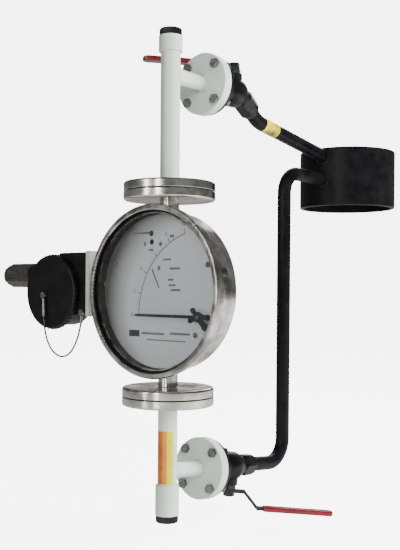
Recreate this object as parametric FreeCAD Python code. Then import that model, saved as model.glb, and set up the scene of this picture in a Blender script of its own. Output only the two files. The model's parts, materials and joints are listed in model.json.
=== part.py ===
import FreeCAD, Part
import os
from math import acos, atan2, cos, radians, sin, sqrt, tan

# Bypass rotameter: a metal metering tube with a round dial, hung between two valved branches
# on a carrier ring that sits in the main line. Millimetres, +Z up, dial facing -Y.
# Every piece is drawn about the metering tube, with the dial's centre at zero, and is moved
# at the end so that the origin is the centre of the carrier ring's lower face.

# Line: the painted vertical pipe above and below the metering tube
pipe_r = 10.65
pipe_bore_r = 7.9
socket_r = 13.0
upper_socket_z = 263.0
upper_end_z = 280.5
lower_socket_z = -208.0
lower_end_z = -240.5
plug_head_r = 12.3
plug_head_t = 8.0
plug_spigot = 12.0

# Line flanges
flange_r = 50.0
flange_t = 9.5
gasket_t = 1.0
neck_len = 15.0
flange_socket = 6.0
flange_edge = 2.4
screw_circle_r = 38.0
screw_count = 4
screw_r = 3.0
screw_head_r = 5.0
screw_head_t = 6.0
screw_play = 0.3
screw_depth = 7.0

# Metering tube and float
tube_bore_r = 8.5
orifice_t = 6.0
orifice_r = 6.2
orifice_z = -74.0
guide_t = 5.0
guide_rim = 1.4
guide_hub_r = 4.6
guide_spoke = 1.8
lower_guide_z = -98.0
upper_guide_z = 46.0
rod_r = 2.5
running_play = 0.06
float_head_r = 7.2
float_head_h = 9.0
float_body_r = 7.0
float_body_h = 34.0
seat_gap = 0.3
magnet_r = 5.6
magnet_h = 20.0

# Dial case: a pan with a front rim that holds the glass, and a screwed bezel over the rim
dial_z = 2.5
case_r = 86.0
case_wall = 2.5
case_back_y = 12.2
case_back_t = 1.5
case_edge = 4.5
rim_step = 4.5
rim_wall = 1.5
rim_show = 1.0
bezel_wall = 3.0
bezel_step = 1.6
bezel_front_y = -31.4
bezel_lip = 3.0
bezel_lap = 2.0
bezel_rim = 5.6
bezel_edge = 2.2
bezel_depth = 12.5
glass_t = 4.0
glass_play = 0.2
seal_t = 1.0
seal_set_back = 1.5
plate_front_y = -14.8
plate_t = 1.2
plate_play = 0.8
pillar_r = 3.2
dial_screw_r = 1.5
dial_screw_head_r = 3.0
dial_screw_head_t = 1.6
dial_screw_depth = 6.0
dial_screw_slot = 0.8
dial_screw_insets = [(12.2, 155.3), (8.0, 22.0), (13.0, -40.2)]
case_plug_angle = 13.6
case_plug_y = -9.0
case_plug_r = 4.2
case_plug_t = 2.4

# Pointer movement behind and before the dial plate
pivot_inset = 25.0
pivot_drop = 26.0
shaft_r = 1.5
shaft_end = 0.8
sweep_deg = 75.0
pointer_len = 94.0
pointer_point = 6.0
pointer_w = 3.4
pointer_tip_w = 1.4
pointer_t = 0.8
pointer_y = -20.6
hub_r = 4.4
hub_t = 2.2
balance_t = 1.6
balance_lobes = [(16.4, 0.0, 3.0), (17.6, -46.0, 4.0), (12.5, 135.0, 3.0), (13.5, 200.0, 3.0)]
arm_len = 39.0
arm_w = 5.0
arm_t = 2.0
arm_back_y = -2.0
arm_hub_y = -5.0
arm_hub_len = 6.0
follower_magnet_r = 4.0
follower_magnet_h = 7.0
bearing_r = 3.0
bearing_h = 2.6
bracket_t = 1.6
bracket_half = 12.5
bracket_left = 8.0
bracket_right = 11.4
bracket_front_y = -12.6
bracket_boss_h = 2.0
switch_size = (8.0, 7.0, 26.0)
switch_x = -22.0

# Terminal box on the left of the case
adaptor_tube_r = 11.5
adaptor_wall = 2.5
adaptor_reach = 18.5
adaptor_plate_t = 5.5
adaptor_rim = 1.5
box_z = 0.5
box_reach = 56.0
box_front_y = -20.0
box_back_y = 12.0
box_r = 40.0
box_wall = 4.0
block_back_y = 8.0
block_low_z = -26.0
block_high_z = 47.0
block_edge = 14.0
cover_r = 44.0
cover_t = 8.0
cover_edge = 3.0
cover_spigot = 5.0
cover_spigot_wall = 3.0
cover_seal_r = 1.2
cover_groove_play = 0.1
gland_y = -6.0
gland_z = 20.5
gland_hub_r = 13.8
hub_reach = 52.0
gland_hex_r = 15.0
gland_body_len = 14.0
gland_nut_len = 37.0
gland_nut_r = 15.0
gland_thread_r = 9.5
gland_thread_len = 12.0
gland_collar_len = 14.0
gland_seal_wall = 1.8
gland_dome_len = 5.0
cable_r = 4.5
terminal_size = (34.0, 14.0, 16.0)

# Lanyard that keeps the box cover captive: chosen by hand, about the box's axis
wire_r = 1.1
lanyard_route = [(-7.3, -31.0, -7.5), (-6.7, -31.0, -19.5), (-5.8, -31.1, -33.0),
                 (-4.2, -31.0, -47.0), (1.0, -30.4, -61.3), (10.4, -29.4, -72.4),
                 (23.3, -28.0, -76.8), (35.0, -26.5, -72.2), (43.0, -25.0, -61.0),
                 (47.6, -23.6, -48.0), (49.8, -22.5, -35.5), (50.4, -22.0, -26.9)]
lug_r = 3.6
lug_t = 2.4
lug_slot = 1.0

# Branches: stub, bolted flange, ball valve, outlet
upper_branch_z = 239.0
lower_branch_z = -193.0
lower_droop = 6.0
stub_r = 8.6
stub_bore_r = 6.3
side_flange_y = 52.5
side_flange_r = 35.0
side_flange_t = 11.0
side_bolt_square = 40.0
side_bolt_r = 3.0
side_hex_r = 5.6
side_hex_t = 4.0
valve_flange_r = 33.5
valve_flange_t = 6.0
stem_y = 113.0
neck_r = 11.5
body_r = 17.0
outlet_r = 11.8
outlet_bend = 10.0
outlet_len = 8.0
hex_r = 13.8
hex_len = 19.0
outlet_cone = 5.0
upper_dip = 36.0
ball_r = 11.0
seat_t = 3.0
seat_overlap = 2.5
seat_r = 9.4
loop_socket_wall = 4.0
bonnet_r = 9.5
bonnet_z = 22.0
gland_nut_t = 5.0
gland_hexagon_r = 8.6
stem_r = 3.9
stem_slot_w = 3.0
stem_slot_h = 3.0
lever_z = 27.5
lever_t = 3.5
lever_w = 13.0
upper_lever_len = 108.5
lower_lever_len = 123.5
lever_step_from = 19.0
lever_step_to = 35.5
lower_lever_step = 18.2
upper_lever_step = 4.0
lever_nut_t = 5.0
lever_nut_r = 6.9
upper_grip_from = 40.0
lower_grip_from = 42.0
grip_past = 2.0
grip_w = 15.0
grip_t = 6.0
upper_lever_angle = -125.7
lower_lever_angle = 42.0

# Bypass loop and the carrier ring in the main line
ring_y = 377.5
ring_low_z = 121.0
ring_high_z = 200.0
ring_r = 66.5
ring_wall = 6.0
plate_mid_z = 171.0
main_plate_t = 3.0
plate_land = 21.5
plate_seat = 3.0
ring_edge = 1.0
saddle_depth = 4.0
loop_r = 8.6
loop_bend_r = 28.0
upper_kink_r = 40.0
upper_tap_z = 188.0
lower_tap_z = 157.0
riser_y = 220.0
kink_y = 160.0

# Values that follow from those above
origin_shift = FreeCAD.Vector(0, -ring_y, -ring_low_z)
flange_inner_z = case_r + neck_len
joint_gap_z = flange_inner_z + flange_t
outer_low_z = joint_gap_z + gasket_t
outer_high_z = outer_low_z + flange_t
case_in_r = case_r - case_wall
case_inner_back = case_back_y - case_back_t
rim_r = case_r + rim_step
glass_r = rim_r - rim_wall
bezel_r = rim_r + bezel_wall
bezel_skirt_r = bezel_r - bezel_step
bezel_open_r = glass_r - bezel_lap
glass_front_y = bezel_front_y + bezel_lip
seal_front_y = glass_front_y + glass_t
seat_y = seal_front_y + seal_t
rim_front_y = glass_front_y + glass_play
bezel_back_y = bezel_front_y + bezel_depth
plate_r = case_in_r - plate_play
plate_back_y = plate_front_y + plate_t
pivot_x = case_r - pivot_inset
pivot_z = dial_z - pivot_drop
float_lift = 2 * arm_len * sin(radians(sweep_deg / 2))
magnet_z = pivot_z - float_lift / 2
float_body_z = magnet_z - float_body_h / 2
valve_flange_y = side_flange_y + side_flange_t + gasket_t
hex_end = outlet_len + hex_len
adaptor_plate_x = -case_r - adaptor_reach
adaptor_y = (box_front_y + block_back_y) / 2
adaptor_z = (block_low_z + block_high_z) / 2
adaptor_bore_r = adaptor_tube_r - adaptor_wall
box_right_x = adaptor_plate_x - adaptor_plate_t
box_x = box_right_x - box_reach
gland_hub_x = box_x - hub_reach
gland_mouth_x = gland_hub_x - gland_body_len - gland_collar_len
ring_bore_r = ring_r - ring_wall
plate_seat_r = ring_bore_r + plate_seat
main_orifice_r = ring_bore_r - plate_land
plate_low_z = plate_mid_z - main_plate_t / 2
loop_end_y = ring_y - ring_r + saddle_depth

X = FreeCAD.Vector(1, 0, 0)
Y = FreeCAD.Vector(0, 1, 0)
Z = FreeCAD.Vector(0, 0, 1)


def vec(x, y, z):
    return FreeCAD.Vector(x, y, z)


def rod(radius, start, length, axis=Z):
    """A plain cylinder from a start point along an axis."""
    return Part.makeCylinder(radius, length, start, axis)


def ring(outer, inner, start, length, axis=Z):
    return rod(outer, start, length, axis).cut(rod(inner, start, length, axis))


def block(low, high):
    size = high - low
    return Part.makeBox(size.x, size.y, size.z, low)


def turned(profile, axis_point, axis):
    """A solid of revolution from a closed outline."""
    face = Part.Face(Part.makePolygon(profile + [profile[0]]))
    return face.revolve(axis_point, axis, 360)


def hexagon(radius, start, length, axis=Z):
    """A hexagonal bar; radius is measured to its corners."""
    points = [vec(radius * cos(radians(60 * k)), radius * sin(radians(60 * k)), 0)
              for k in range(7)]
    bar = Part.Face(Part.makePolygon(points)).extrude(vec(0, 0, length))
    bar.Placement = FreeCAD.Placement(start, FreeCAD.Rotation(Z, axis))
    return bar


def fused(pieces):
    whole = pieces[0]
    for piece in pieces[1:]:
        whole = whole.fuse(piece)
    return whole.removeSplitter()


def round_edges(solid, radius, wanted):
    """Round the edges that the test function picks."""
    picked = [edge for edge in solid.Edges if wanted(edge)]
    return solid.makeFillet(radius, picked) if picked else solid


def circle_edge_at(radius, axis_name, value):
    """Picks full circles of one radius at one height along an axis."""
    def test(edge):
        curve = edge.Curve
        if not isinstance(curve, Part.Circle):
            return False
        return abs(curve.Radius - radius) < 0.01 and abs(getattr(curve.Center, axis_name) - value) < 0.01
    return test


def mirrored(shape):
    """The same piece on the other side of the dial's centre plane."""
    return shape.mirror(vec(0, 0, 0), Z)


def path_wire(points, radii):
    """Straight runs through the points, joined by tangent arcs of the given radii."""
    edges = []
    start = points[0]
    for k in range(1, len(points) - 1):
        before = (points[k - 1] - points[k]).normalize()
        after = (points[k + 1] - points[k]).normalize()
        half = acos(max(-1.0, min(1.0, before.dot(after)))) / 2
        back = radii[k - 1] / tan(half)
        enter = points[k] + before * back
        leave = points[k] + after * back
        middle_dir = (before + after).normalize()
        middle = points[k] + middle_dir * (radii[k - 1] / sin(half) - radii[k - 1])
        edges.append(Part.LineSegment(start, enter).toShape())
        edges.append(Part.Arc(enter, middle, leave).toShape())
        start = leave
    edges.append(Part.LineSegment(start, points[-1]).toShape())
    return Part.Wire(edges)


def swept(points, radii, radius):
    wire = path_wire(points, radii)
    circle = Part.Circle(points[0], points[1] - points[0], radius).toShape()
    return wire.makePipeShell([Part.Wire([circle])], True, True)


def branch_place(shape, lower):
    """Move a piece of a branch from its own axis to the upper or the lower branch."""
    placed = shape.copy()
    if lower:
        placed = mirrored(placed)
        placed.rotate(vec(0, 0, 0), X, -lower_droop)
        placed.translate(vec(0, 0, lower_branch_z))
    else:
        placed.translate(vec(0, 0, upper_branch_z))
    return placed


def bolt_square():
    half = side_bolt_square / 2
    return [(sx * half, sz * half) for sx in (-1, 1) for sz in (-1, 1)]


def screw_angles():
    return [45 + 360 * k / screw_count for k in range(screw_count)]


def spool(lower):
    """Painted line pipe with its end socket, branch stub and side flange, welded up."""
    root_z = outer_high_z - flange_socket
    end_z = -lower_end_z if lower else upper_end_z
    socket_z = -lower_socket_z if lower else upper_socket_z
    line = fused([rod(pipe_r, vec(0, 0, root_z), end_z - root_z),
                  rod(socket_r, vec(0, 0, socket_z), end_z - socket_z)])
    line = line.makeFillet(1.2, [e for e in line.Edges
                                 if circle_edge_at(socket_r, "z", socket_z)(e)])
    bore = rod(pipe_bore_r, vec(0, 0, root_z), end_z - root_z)
    if lower:
        line, bore = mirrored(line), mirrored(bore)
    stub = rod(stub_r, vec(0, 0, 0), side_flange_y, Y)
    disc = rod(side_flange_r, vec(0, side_flange_y, 0), side_flange_t, Y)
    disc = round_edges(disc, 1.0, circle_edge_at(side_flange_r, "y", side_flange_y))
    for x, z in bolt_square():
        disc = disc.cut(rod(side_bolt_r + screw_play, vec(x, side_flange_y, z), side_flange_t, Y))
    branch_bore = rod(stub_bore_r, vec(0, 0, 0), side_flange_y + side_flange_t, Y)
    whole = fused([line, branch_place(stub, lower), branch_place(disc, lower)])
    return whole.cut(bore).cut(branch_place(branch_bore, lower))


def end_plug(end_z):
    """Screwed plug in the unused end of the line, with its spigot inside the socket."""
    head = rod(plug_head_r, vec(0, 0, end_z), plug_head_t)
    head = head.makeChamfer(0.8, [e for e in head.Edges
                                  if circle_edge_at(plug_head_r, "z", end_z + plug_head_t)(e)])
    return fused([head, rod(pipe_bore_r, vec(0, 0, end_z - plug_spigot), plug_spigot)])


def end_plugs():
    return Part.Compound([end_plug(upper_end_z), mirrored(end_plug(-lower_end_z))])


def line_flange():
    """Outer disc: the pipe sits in its socket and the cap screws sink into counterbores."""
    disc = rod(flange_r, vec(0, 0, outer_low_z), flange_t)
    disc = round_edges(disc, flange_edge, circle_edge_at(flange_r, "z", outer_high_z))
    disc = disc.cut(rod(pipe_r, vec(0, 0, outer_high_z - flange_socket), flange_socket))
    disc = disc.cut(rod(pipe_bore_r, vec(0, 0, outer_low_z), flange_t))
    for angle in screw_angles():
        at = screw_circle_r * cos(radians(angle)), screw_circle_r * sin(radians(angle))
        disc = disc.cut(rod(screw_r + screw_play, vec(at[0], at[1], outer_low_z), flange_t))
        sink = outer_high_z - screw_head_t
        disc = disc.cut(rod(screw_head_r + screw_play, vec(at[0], at[1], sink), screw_head_t))
    return disc


def flange_screw(angle):
    """Socket cap screw, head down in the outer disc and shank in the inner disc."""
    x, y = screw_circle_r * cos(radians(angle)), screw_circle_r * sin(radians(angle))
    head_z = outer_high_z - screw_head_t
    low_z = joint_gap_z - screw_depth
    screw = fused([rod(screw_head_r, vec(x, y, head_z), screw_head_t),
                   rod(screw_r, vec(x, y, low_z), head_z - low_z)])
    key = hexagon(2.9, vec(x, y, outer_high_z - 3.0), 3.0)
    return screw.cut(key)


def flange_screws():
    upper = [flange_screw(angle) for angle in screw_angles()]
    return Part.Compound(upper + [mirrored(screw) for screw in upper])


def line_gaskets():
    gasket = ring(screw_circle_r - screw_head_r, pipe_bore_r, vec(0, 0, joint_gap_z), gasket_t)
    return Part.Compound([gasket, mirrored(gasket)])


def metering_tube():
    """Straight tube through the dial case with a welded disc at each end."""
    tube = rod(pipe_r, vec(0, 0, -flange_inner_z), 2 * flange_inner_z)
    disc = rod(flange_r, vec(0, 0, flange_inner_z), flange_t)
    disc = round_edges(disc, flange_edge, circle_edge_at(flange_r, "z", flange_inner_z))
    for angle in screw_angles():
        x, y = screw_circle_r * cos(radians(angle)), screw_circle_r * sin(radians(angle))
        hole_z = joint_gap_z - screw_depth
        disc = disc.cut(rod(screw_r, vec(x, y, hole_z), screw_depth))
    whole = fused([tube, disc, mirrored(disc)])
    return whole.cut(rod(tube_bore_r, vec(0, 0, -joint_gap_z), 2 * joint_gap_z))


def metering_orifice():
    """Ring in the tube whose mouth the float head closes when there is no flow."""
    low = orifice_z - orifice_t
    body = rod(tube_bore_r, vec(0, 0, low), orifice_t)
    mouth = Part.makeCone(orifice_r + 1.4, orifice_r, orifice_t, vec(0, 0, low))
    return body.cut(mouth)


def float_guide(top_z):
    """Spider: rim against the tube, hub around the float rod, three spokes."""
    low = top_z - guide_t
    rim = ring(tube_bore_r, tube_bore_r - guide_rim, vec(0, 0, low), guide_t)
    pieces = [rim, rod(guide_hub_r, vec(0, 0, low), guide_t)]
    for k in range(3):
        spoke = block(vec(guide_hub_r - 1, -guide_spoke / 2, low),
                      vec(tube_bore_r - guide_rim / 2, guide_spoke / 2, top_z))
        spoke.rotate(vec(0, 0, 0), Z, 120 * k)
        pieces.append(spoke)
    return fused(pieces).cut(rod(rod_r + running_play, vec(0, 0, low), guide_t))


def float_guides():
    return Part.Compound([float_guide(lower_guide_z + guide_t), float_guide(upper_guide_z)])


def flow_float():
    """Guide rod with the conical metering head and the hollow magnet housing."""
    rod_low = lower_guide_z - float_lift - guide_t
    rod_high = upper_guide_z + guide_t
    head_z = orifice_z + seat_gap
    spindle = rod(rod_r, vec(0, 0, rod_low), rod_high - rod_low)
    head = Part.makeCone(float_head_r, rod_r + 0.6, float_head_h, vec(0, 0, head_z))
    plug_len = orifice_t - 1.0
    plug = Part.makeCone(rod_r + 0.4, orifice_r - seat_gap, plug_len, vec(0, 0, head_z - plug_len))
    housing = rod(float_body_r, vec(0, 0, float_body_z), float_body_h)
    housing = housing.makeFillet(2.0, [e for e in housing.Edges if isinstance(e.Curve, Part.Circle)])
    cavity = ring(magnet_r, rod_r, vec(0, 0, magnet_z - magnet_h / 2), magnet_h)
    return fused([spindle, head, plug, housing]).cut(cavity)


def float_magnet():
    return ring(magnet_r, rod_r, vec(0, 0, magnet_z - magnet_h / 2), magnet_h)


def dial_place(shape):
    """Move a piece drawn about the dial's own centre to the dial's height."""
    placed = shape.copy()
    placed.translate(Z * dial_z)
    return placed


def dial_case():
    """Round pan whose front rim seats the glass; the metering tube passes through its wall."""
    pan = rod(case_r, vec(0, rim_front_y, 0), case_back_y - rim_front_y, Y)
    pan = round_edges(pan, case_edge, circle_edge_at(case_r, "y", case_back_y))
    rim = rod(rim_r, vec(0, rim_front_y, 0), bezel_back_y + rim_show - rim_front_y, Y)
    pan = fused([pan, rim])
    pan = pan.cut(rod(case_in_r, vec(0, rim_front_y, 0), case_inner_back - rim_front_y, Y))
    pan = pan.cut(rod(glass_r + glass_play, vec(0, rim_front_y, 0), seat_y - rim_front_y, Y))
    pan = pan.cut(rod(pipe_r, vec(0, 0, -flange_inner_z), 2 * flange_inner_z))
    wire_hole = rod(adaptor_bore_r, vec(adaptor_plate_x, adaptor_y, adaptor_z - dial_z),
                    adaptor_reach + adaptor_tube_r, X)
    return pan.cut(wire_hole).cut(case_plug_hole())


def bezel_ring():
    """Screwed bezel: rounded front rim, inner lip over the glass, stepped skirt over the case's rim."""
    front = rod(bezel_r, vec(0, bezel_front_y, 0), bezel_rim, Y)
    front = round_edges(front, bezel_edge, circle_edge_at(bezel_r, "y", bezel_front_y))
    skirt = rod(bezel_skirt_r, vec(0, bezel_front_y + bezel_rim, 0), bezel_depth - bezel_rim, Y)
    whole = fused([front, skirt])
    whole = whole.cut(rod(bezel_open_r, vec(0, bezel_front_y, 0), bezel_lip, Y))
    whole = whole.cut(rod(rim_r, vec(0, glass_front_y, 0), bezel_depth - bezel_lip, Y))
    inner = circle_edge_at(bezel_open_r, "y", bezel_front_y)
    return whole.makeChamfer(bezel_lip * 0.4, [e for e in whole.Edges if inner(e)])


def dial_glass():
    return rod(glass_r, vec(0, glass_front_y, 0), glass_t, Y)


def glass_gasket():
    return ring(glass_r, case_in_r + seal_set_back, vec(0, seal_front_y, 0), seal_t, Y)


def dial_screw_at():
    """The plate screws, each at an inset from the plate's edge and an angle."""
    return [((plate_r - inset) * cos(radians(angle)), (plate_r - inset) * sin(radians(angle)))
            for inset, angle in dial_screw_insets]


def dial_plate():
    plate = rod(plate_r, vec(0, plate_front_y, 0), plate_t, Y)
    plate = plate.cut(rod(shaft_r + 2.0, vec(pivot_x, plate_front_y, -pivot_drop), plate_t, Y))
    for x, z in dial_screw_at():
        plate = plate.cut(rod(dial_screw_r, vec(x, plate_front_y, z), plate_t, Y))
    return plate


def dial_pillars():
    """Three hexagonal pillars that carry the plate on the case's back wall."""
    length = case_inner_back - plate_back_y
    pillars = []
    for x, z in dial_screw_at():
        bar = hexagon(pillar_r, vec(x, plate_back_y, z), length, Y)
        pillars.append(bar.cut(rod(dial_screw_r, vec(x, plate_back_y, z), length / 2, Y)))
    return Part.Compound(pillars)


def dial_screws():
    screws = []
    for x, z in dial_screw_at():
        face_y = plate_front_y - dial_screw_head_t
        head = rod(dial_screw_head_r, vec(x, face_y, z), dial_screw_head_t, Y)
        slot = block(vec(x - dial_screw_head_r, face_y, z - dial_screw_slot / 2),
                     vec(x + dial_screw_head_r, face_y + dial_screw_slot, z + dial_screw_slot / 2))
        shank = rod(dial_screw_r, vec(x, plate_front_y, z), plate_t + dial_screw_depth, Y)
        screws.append(fused([head, shank]).cut(slot))
    return Part.Compound(screws)


def case_plug_axis():
    angle = radians(case_plug_angle)
    return vec(cos(angle), 0, sin(angle))


def case_plug_hole():
    axis = case_plug_axis()
    start = axis * (case_in_r - 2.0)
    return rod(case_plug_r * 0.6, vec(start.x, case_plug_y, start.z), case_wall + 6.0, axis)


def case_plug():
    """Slotted filler screw in the case's side wall."""
    axis = case_plug_axis()
    wall = axis * case_in_r
    face = axis * (case_r - 0.4)
    shank = rod(case_plug_r * 0.6, vec(wall.x, case_plug_y, wall.z), case_wall, axis)
    head = rod(case_plug_r, vec(face.x, case_plug_y, face.z), case_plug_t, axis)
    head = head.cut(rod(case_r, vec(0, rim_front_y, 0), case_back_y - rim_front_y, Y))
    return fused([shank, head])


def bearing_bracket():
    """Folded strip: foot on the back wall, web beside the movement, front leg."""
    low_z, high_z = pivot_z - bracket_half, pivot_z + bracket_half
    left, right = pivot_x - bracket_left, pivot_x + bracket_right
    foot = block(vec(left, case_inner_back - bracket_t, low_z), vec(right, case_inner_back, high_z))
    web = block(vec(right - bracket_t, bracket_front_y, low_z), vec(right, case_inner_back, high_z))
    leg = block(vec(left, bracket_front_y, low_z), vec(right, bracket_front_y + bracket_t, high_z))
    boss_y = case_inner_back - bracket_t - bracket_boss_h
    boss = rod(bearing_r + bracket_t, vec(pivot_x, boss_y, pivot_z), bracket_boss_h, Y)
    whole = fused([foot, web, leg, boss])
    hole_y = bracket_front_y - 1.0
    return whole.cut(rod(bearing_r, vec(pivot_x, hole_y, pivot_z), case_inner_back - hole_y, Y))


def shaft_bearings():
    """Flanged bush in the front leg and a plain one in the foot's boss."""
    front = ring(bearing_r, shaft_r + running_play, vec(pivot_x, bracket_front_y, pivot_z), bearing_h, Y)
    collar = ring(bearing_r + 1.0, shaft_r + running_play,
                  vec(pivot_x, bracket_front_y + bracket_t, pivot_z), bearing_h - bracket_t, Y)
    rear_y = case_inner_back - bracket_t - bracket_boss_h
    rear = ring(bearing_r, shaft_r + running_play, vec(pivot_x, rear_y, pivot_z), bearing_h, Y)
    return Part.Compound([fused([front, collar]), rear])


def pointer_shaft():
    front_y = pointer_y - balance_t - shaft_end
    end_y = case_inner_back - bracket_t
    return rod(shaft_r, vec(pivot_x, front_y, pivot_z), end_y - front_y, Y)


def follower_arm():
    """Rocker behind the plate that carries the follower magnet beside the tube."""
    hub = ring(hub_r, shaft_r, vec(pivot_x, arm_hub_y, pivot_z), arm_hub_len, Y)
    front_y = arm_back_y - arm_t
    bar = block(vec(pivot_x - arm_len, front_y, pivot_z - arm_w / 2),
                vec(pivot_x - hub_r * 0.8, arm_back_y, pivot_z + arm_w / 2))
    cup = rod(follower_magnet_r + 1.0, vec(pivot_x - arm_len, front_y, pivot_z), arm_t, Y)
    arm = fused([hub, bar, cup])
    arm.rotate(vec(pivot_x, 0, pivot_z), Y, -sweep_deg / 2)
    return arm


def follower_magnet():
    start = vec(pivot_x - arm_len, arm_back_y, pivot_z)
    magnet = rod(follower_magnet_r, start, follower_magnet_h, Y)
    magnet.rotate(vec(pivot_x, 0, pivot_z), Y, -sweep_deg / 2)
    return magnet


def pointer():
    """Flat tapered needle on its hub, pointing left at no flow."""
    outline = [vec(pivot_x, pointer_y, pivot_z - pointer_w / 2),
               vec(pivot_x, pointer_y, pivot_z + pointer_w / 2),
               vec(pivot_x - pointer_len + pointer_point, pointer_y, pivot_z + pointer_tip_w),
               vec(pivot_x - pointer_len, pointer_y, pivot_z),
               vec(pivot_x - pointer_len + pointer_point, pointer_y, pivot_z - pointer_tip_w)]
    needle = Part.Face(Part.makePolygon(outline + [outline[0]])).extrude(vec(0, pointer_t, 0))
    hub = rod(hub_r, vec(pivot_x, pointer_y, pivot_z), hub_t, Y)
    return fused([needle, hub]).cut(rod(shaft_r, vec(pivot_x, pointer_y, pivot_z), hub_t, Y))


def pointer_balance():
    """Black balance spider on the pointer hub; its lobes trim the needle."""
    front_y = pointer_y - balance_t
    pieces = [rod(hub_r + 1.2, vec(pivot_x, front_y, pivot_z), balance_t, Y)]
    for reach, angle, lobe_r in balance_lobes:
        length = reach - lobe_r
        bar = block(vec(pivot_x, front_y, pivot_z - lobe_r * 0.8),
                    vec(pivot_x + length, pointer_y, pivot_z + lobe_r * 0.8))
        lobe = fused([bar, rod(lobe_r, vec(pivot_x + length, front_y, pivot_z), balance_t, Y)])
        lobe.rotate(vec(pivot_x, 0, pivot_z), Y, -angle)
        pieces.append(lobe)
    return fused(pieces).cut(rod(shaft_r, vec(pivot_x, front_y, pivot_z), balance_t, Y))


def alarm_switch():
    """Reed switch capsule on the back wall, beside the tube."""
    width, depth, height = switch_size
    low = vec(switch_x - width / 2, case_inner_back - depth, magnet_z - height / 2)
    capsule = block(low, low + vec(width, depth, height))
    return capsule.makeFillet(1.5, [e for e in capsule.Edges if e.Length > height - 1])


def box_adaptor():
    """Welded socket on the case: short tube and a plate for the terminal box."""
    reach = -adaptor_plate_x - case_in_r
    tube = rod(adaptor_tube_r, vec(adaptor_plate_x, adaptor_y, adaptor_z), reach, X)
    tube = tube.cut(rod(case_r, vec(0, rim_front_y, dial_z), case_back_y - rim_front_y, Y))
    plate = block(vec(box_right_x, box_front_y - adaptor_rim, block_low_z - adaptor_rim),
                  vec(adaptor_plate_x, block_back_y + adaptor_rim, block_high_z + adaptor_rim))
    hole = rod(adaptor_bore_r, vec(box_right_x, adaptor_y, adaptor_z), adaptor_plate_t + reach, X)
    return fused([tube, plate]).cut(hole)


def box_hollow():
    return rod(box_r - box_wall, vec(box_x, box_front_y, box_z), box_back_y - box_wall - box_front_y, Y)


def terminal_box():
    """Round cast box with a flat mounting block on the right and a gland hub on the left."""
    drum = rod(box_r, vec(box_x, box_front_y, box_z), box_back_y - box_front_y, Y)
    drum = round_edges(drum, 4.0, circle_edge_at(box_r, "y", box_back_y))
    seat = block(vec(box_x, box_front_y, block_low_z), vec(box_right_x, block_back_y, block_high_z))
    upright = [e for e in seat.Edges
               if abs(e.Vertexes[0].Y - e.Vertexes[1].Y) > 1 and e.Vertexes[0].X < box_x + 1]
    seat = seat.makeFillet(block_edge, upright)
    hub = rod(gland_hub_r, vec(gland_hub_x, gland_y, gland_z), box_x - gland_hub_x, X)
    whole = fused([drum, seat, hub]).cut(box_hollow())
    whole = whole.cut(rod(adaptor_bore_r, vec(box_x, adaptor_y, adaptor_z), box_reach, X))
    return whole.cut(rod(gland_thread_r, vec(gland_hub_x, gland_y, gland_z), hub_reach, X))


def box_cover():
    """Screwed cover with a rounded edge and a spigot inside the box."""
    face_y = box_front_y - cover_t
    disc = rod(cover_r, vec(box_x, face_y, box_z), cover_t, Y)
    disc = round_edges(disc, cover_edge, circle_edge_at(cover_r, "y", face_y))
    spigot_r = box_r - box_wall
    spigot = ring(spigot_r, spigot_r - cover_spigot_wall, vec(box_x, box_front_y, box_z), cover_spigot, Y)
    groove = ring(cover_seal_ring_r() + cover_seal_r + cover_groove_play,
                  cover_seal_ring_r() - cover_seal_r - cover_groove_play,
                  vec(box_x, box_front_y - 2 * cover_seal_r, box_z), 2 * cover_seal_r, Y)
    return fused([disc, spigot]).cut(groove)


def cover_seal_ring_r():
    return box_r - box_wall / 2


def cover_seal():
    centre = vec(box_x, box_front_y - cover_seal_r, box_z)
    return Part.makeTorus(cover_seal_ring_r(), cover_seal_r, centre, Y)


def terminal_block():
    """Three-pole terminal strip on the floor of the box."""
    width, depth, height = terminal_size
    floor_y = box_back_y - box_wall
    low = vec(box_x - width / 2, floor_y - depth, box_z - height / 2)
    strip = block(low, low + vec(width, depth, height))
    pitch = width / 3
    for k in range(3):
        x = low.x + pitch * (k + 0.5)
        strip = strip.cut(rod(2.6, vec(x, low.y, box_z), 4.0, Y))
        strip = strip.cut(rod(2.0, vec(x, low.y + depth / 2, low.z), 6.0, Z))
    return strip


def gland_body():
    """Gland body: thread in the hub, hexagon outside, collar for the nut."""
    thread = rod(gland_thread_r, vec(gland_hub_x, gland_y, gland_z), gland_thread_len, X)
    nut = hexagon(gland_hex_r, vec(gland_hub_x - gland_body_len, gland_y, gland_z), gland_body_len, X)
    start = vec(gland_mouth_x, gland_y, gland_z)
    whole = fused([thread, nut, rod(gland_thread_r, start, gland_collar_len, X)])
    bore_len = gland_collar_len + gland_body_len + gland_thread_len
    bore = rod(cable_r + 0.5, start, bore_len, X)
    return whole.cut(bore).cut(rod(gland_thread_r - gland_seal_wall, start, gland_collar_len, X))


def gland_seal():
    start = vec(gland_mouth_x, gland_y, gland_z)
    return ring(gland_thread_r - gland_seal_wall, cable_r, start, gland_collar_len, X)


def gland_nut():
    """Domed compression nut over the gland's collar."""
    end_x = gland_hub_x - gland_body_len - gland_nut_len
    start = vec(end_x, gland_y, gland_z)
    grip = hexagon(gland_nut_r, start + X * gland_dome_len, gland_nut_len - gland_dome_len, X)
    dome = Part.makeCone(gland_nut_r * 0.72, gland_nut_r * 0.9, gland_dome_len, start, X)
    whole = fused([grip, dome]).cut(rod(cable_r + 0.6, start, gland_nut_len, X))
    return whole.cut(rod(gland_thread_r, vec(gland_mouth_x, gland_y, gland_z), gland_collar_len, X))


def lanyard_points():
    return [vec(box_x + x, y, box_z + z) for x, y, z in lanyard_route]


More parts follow.
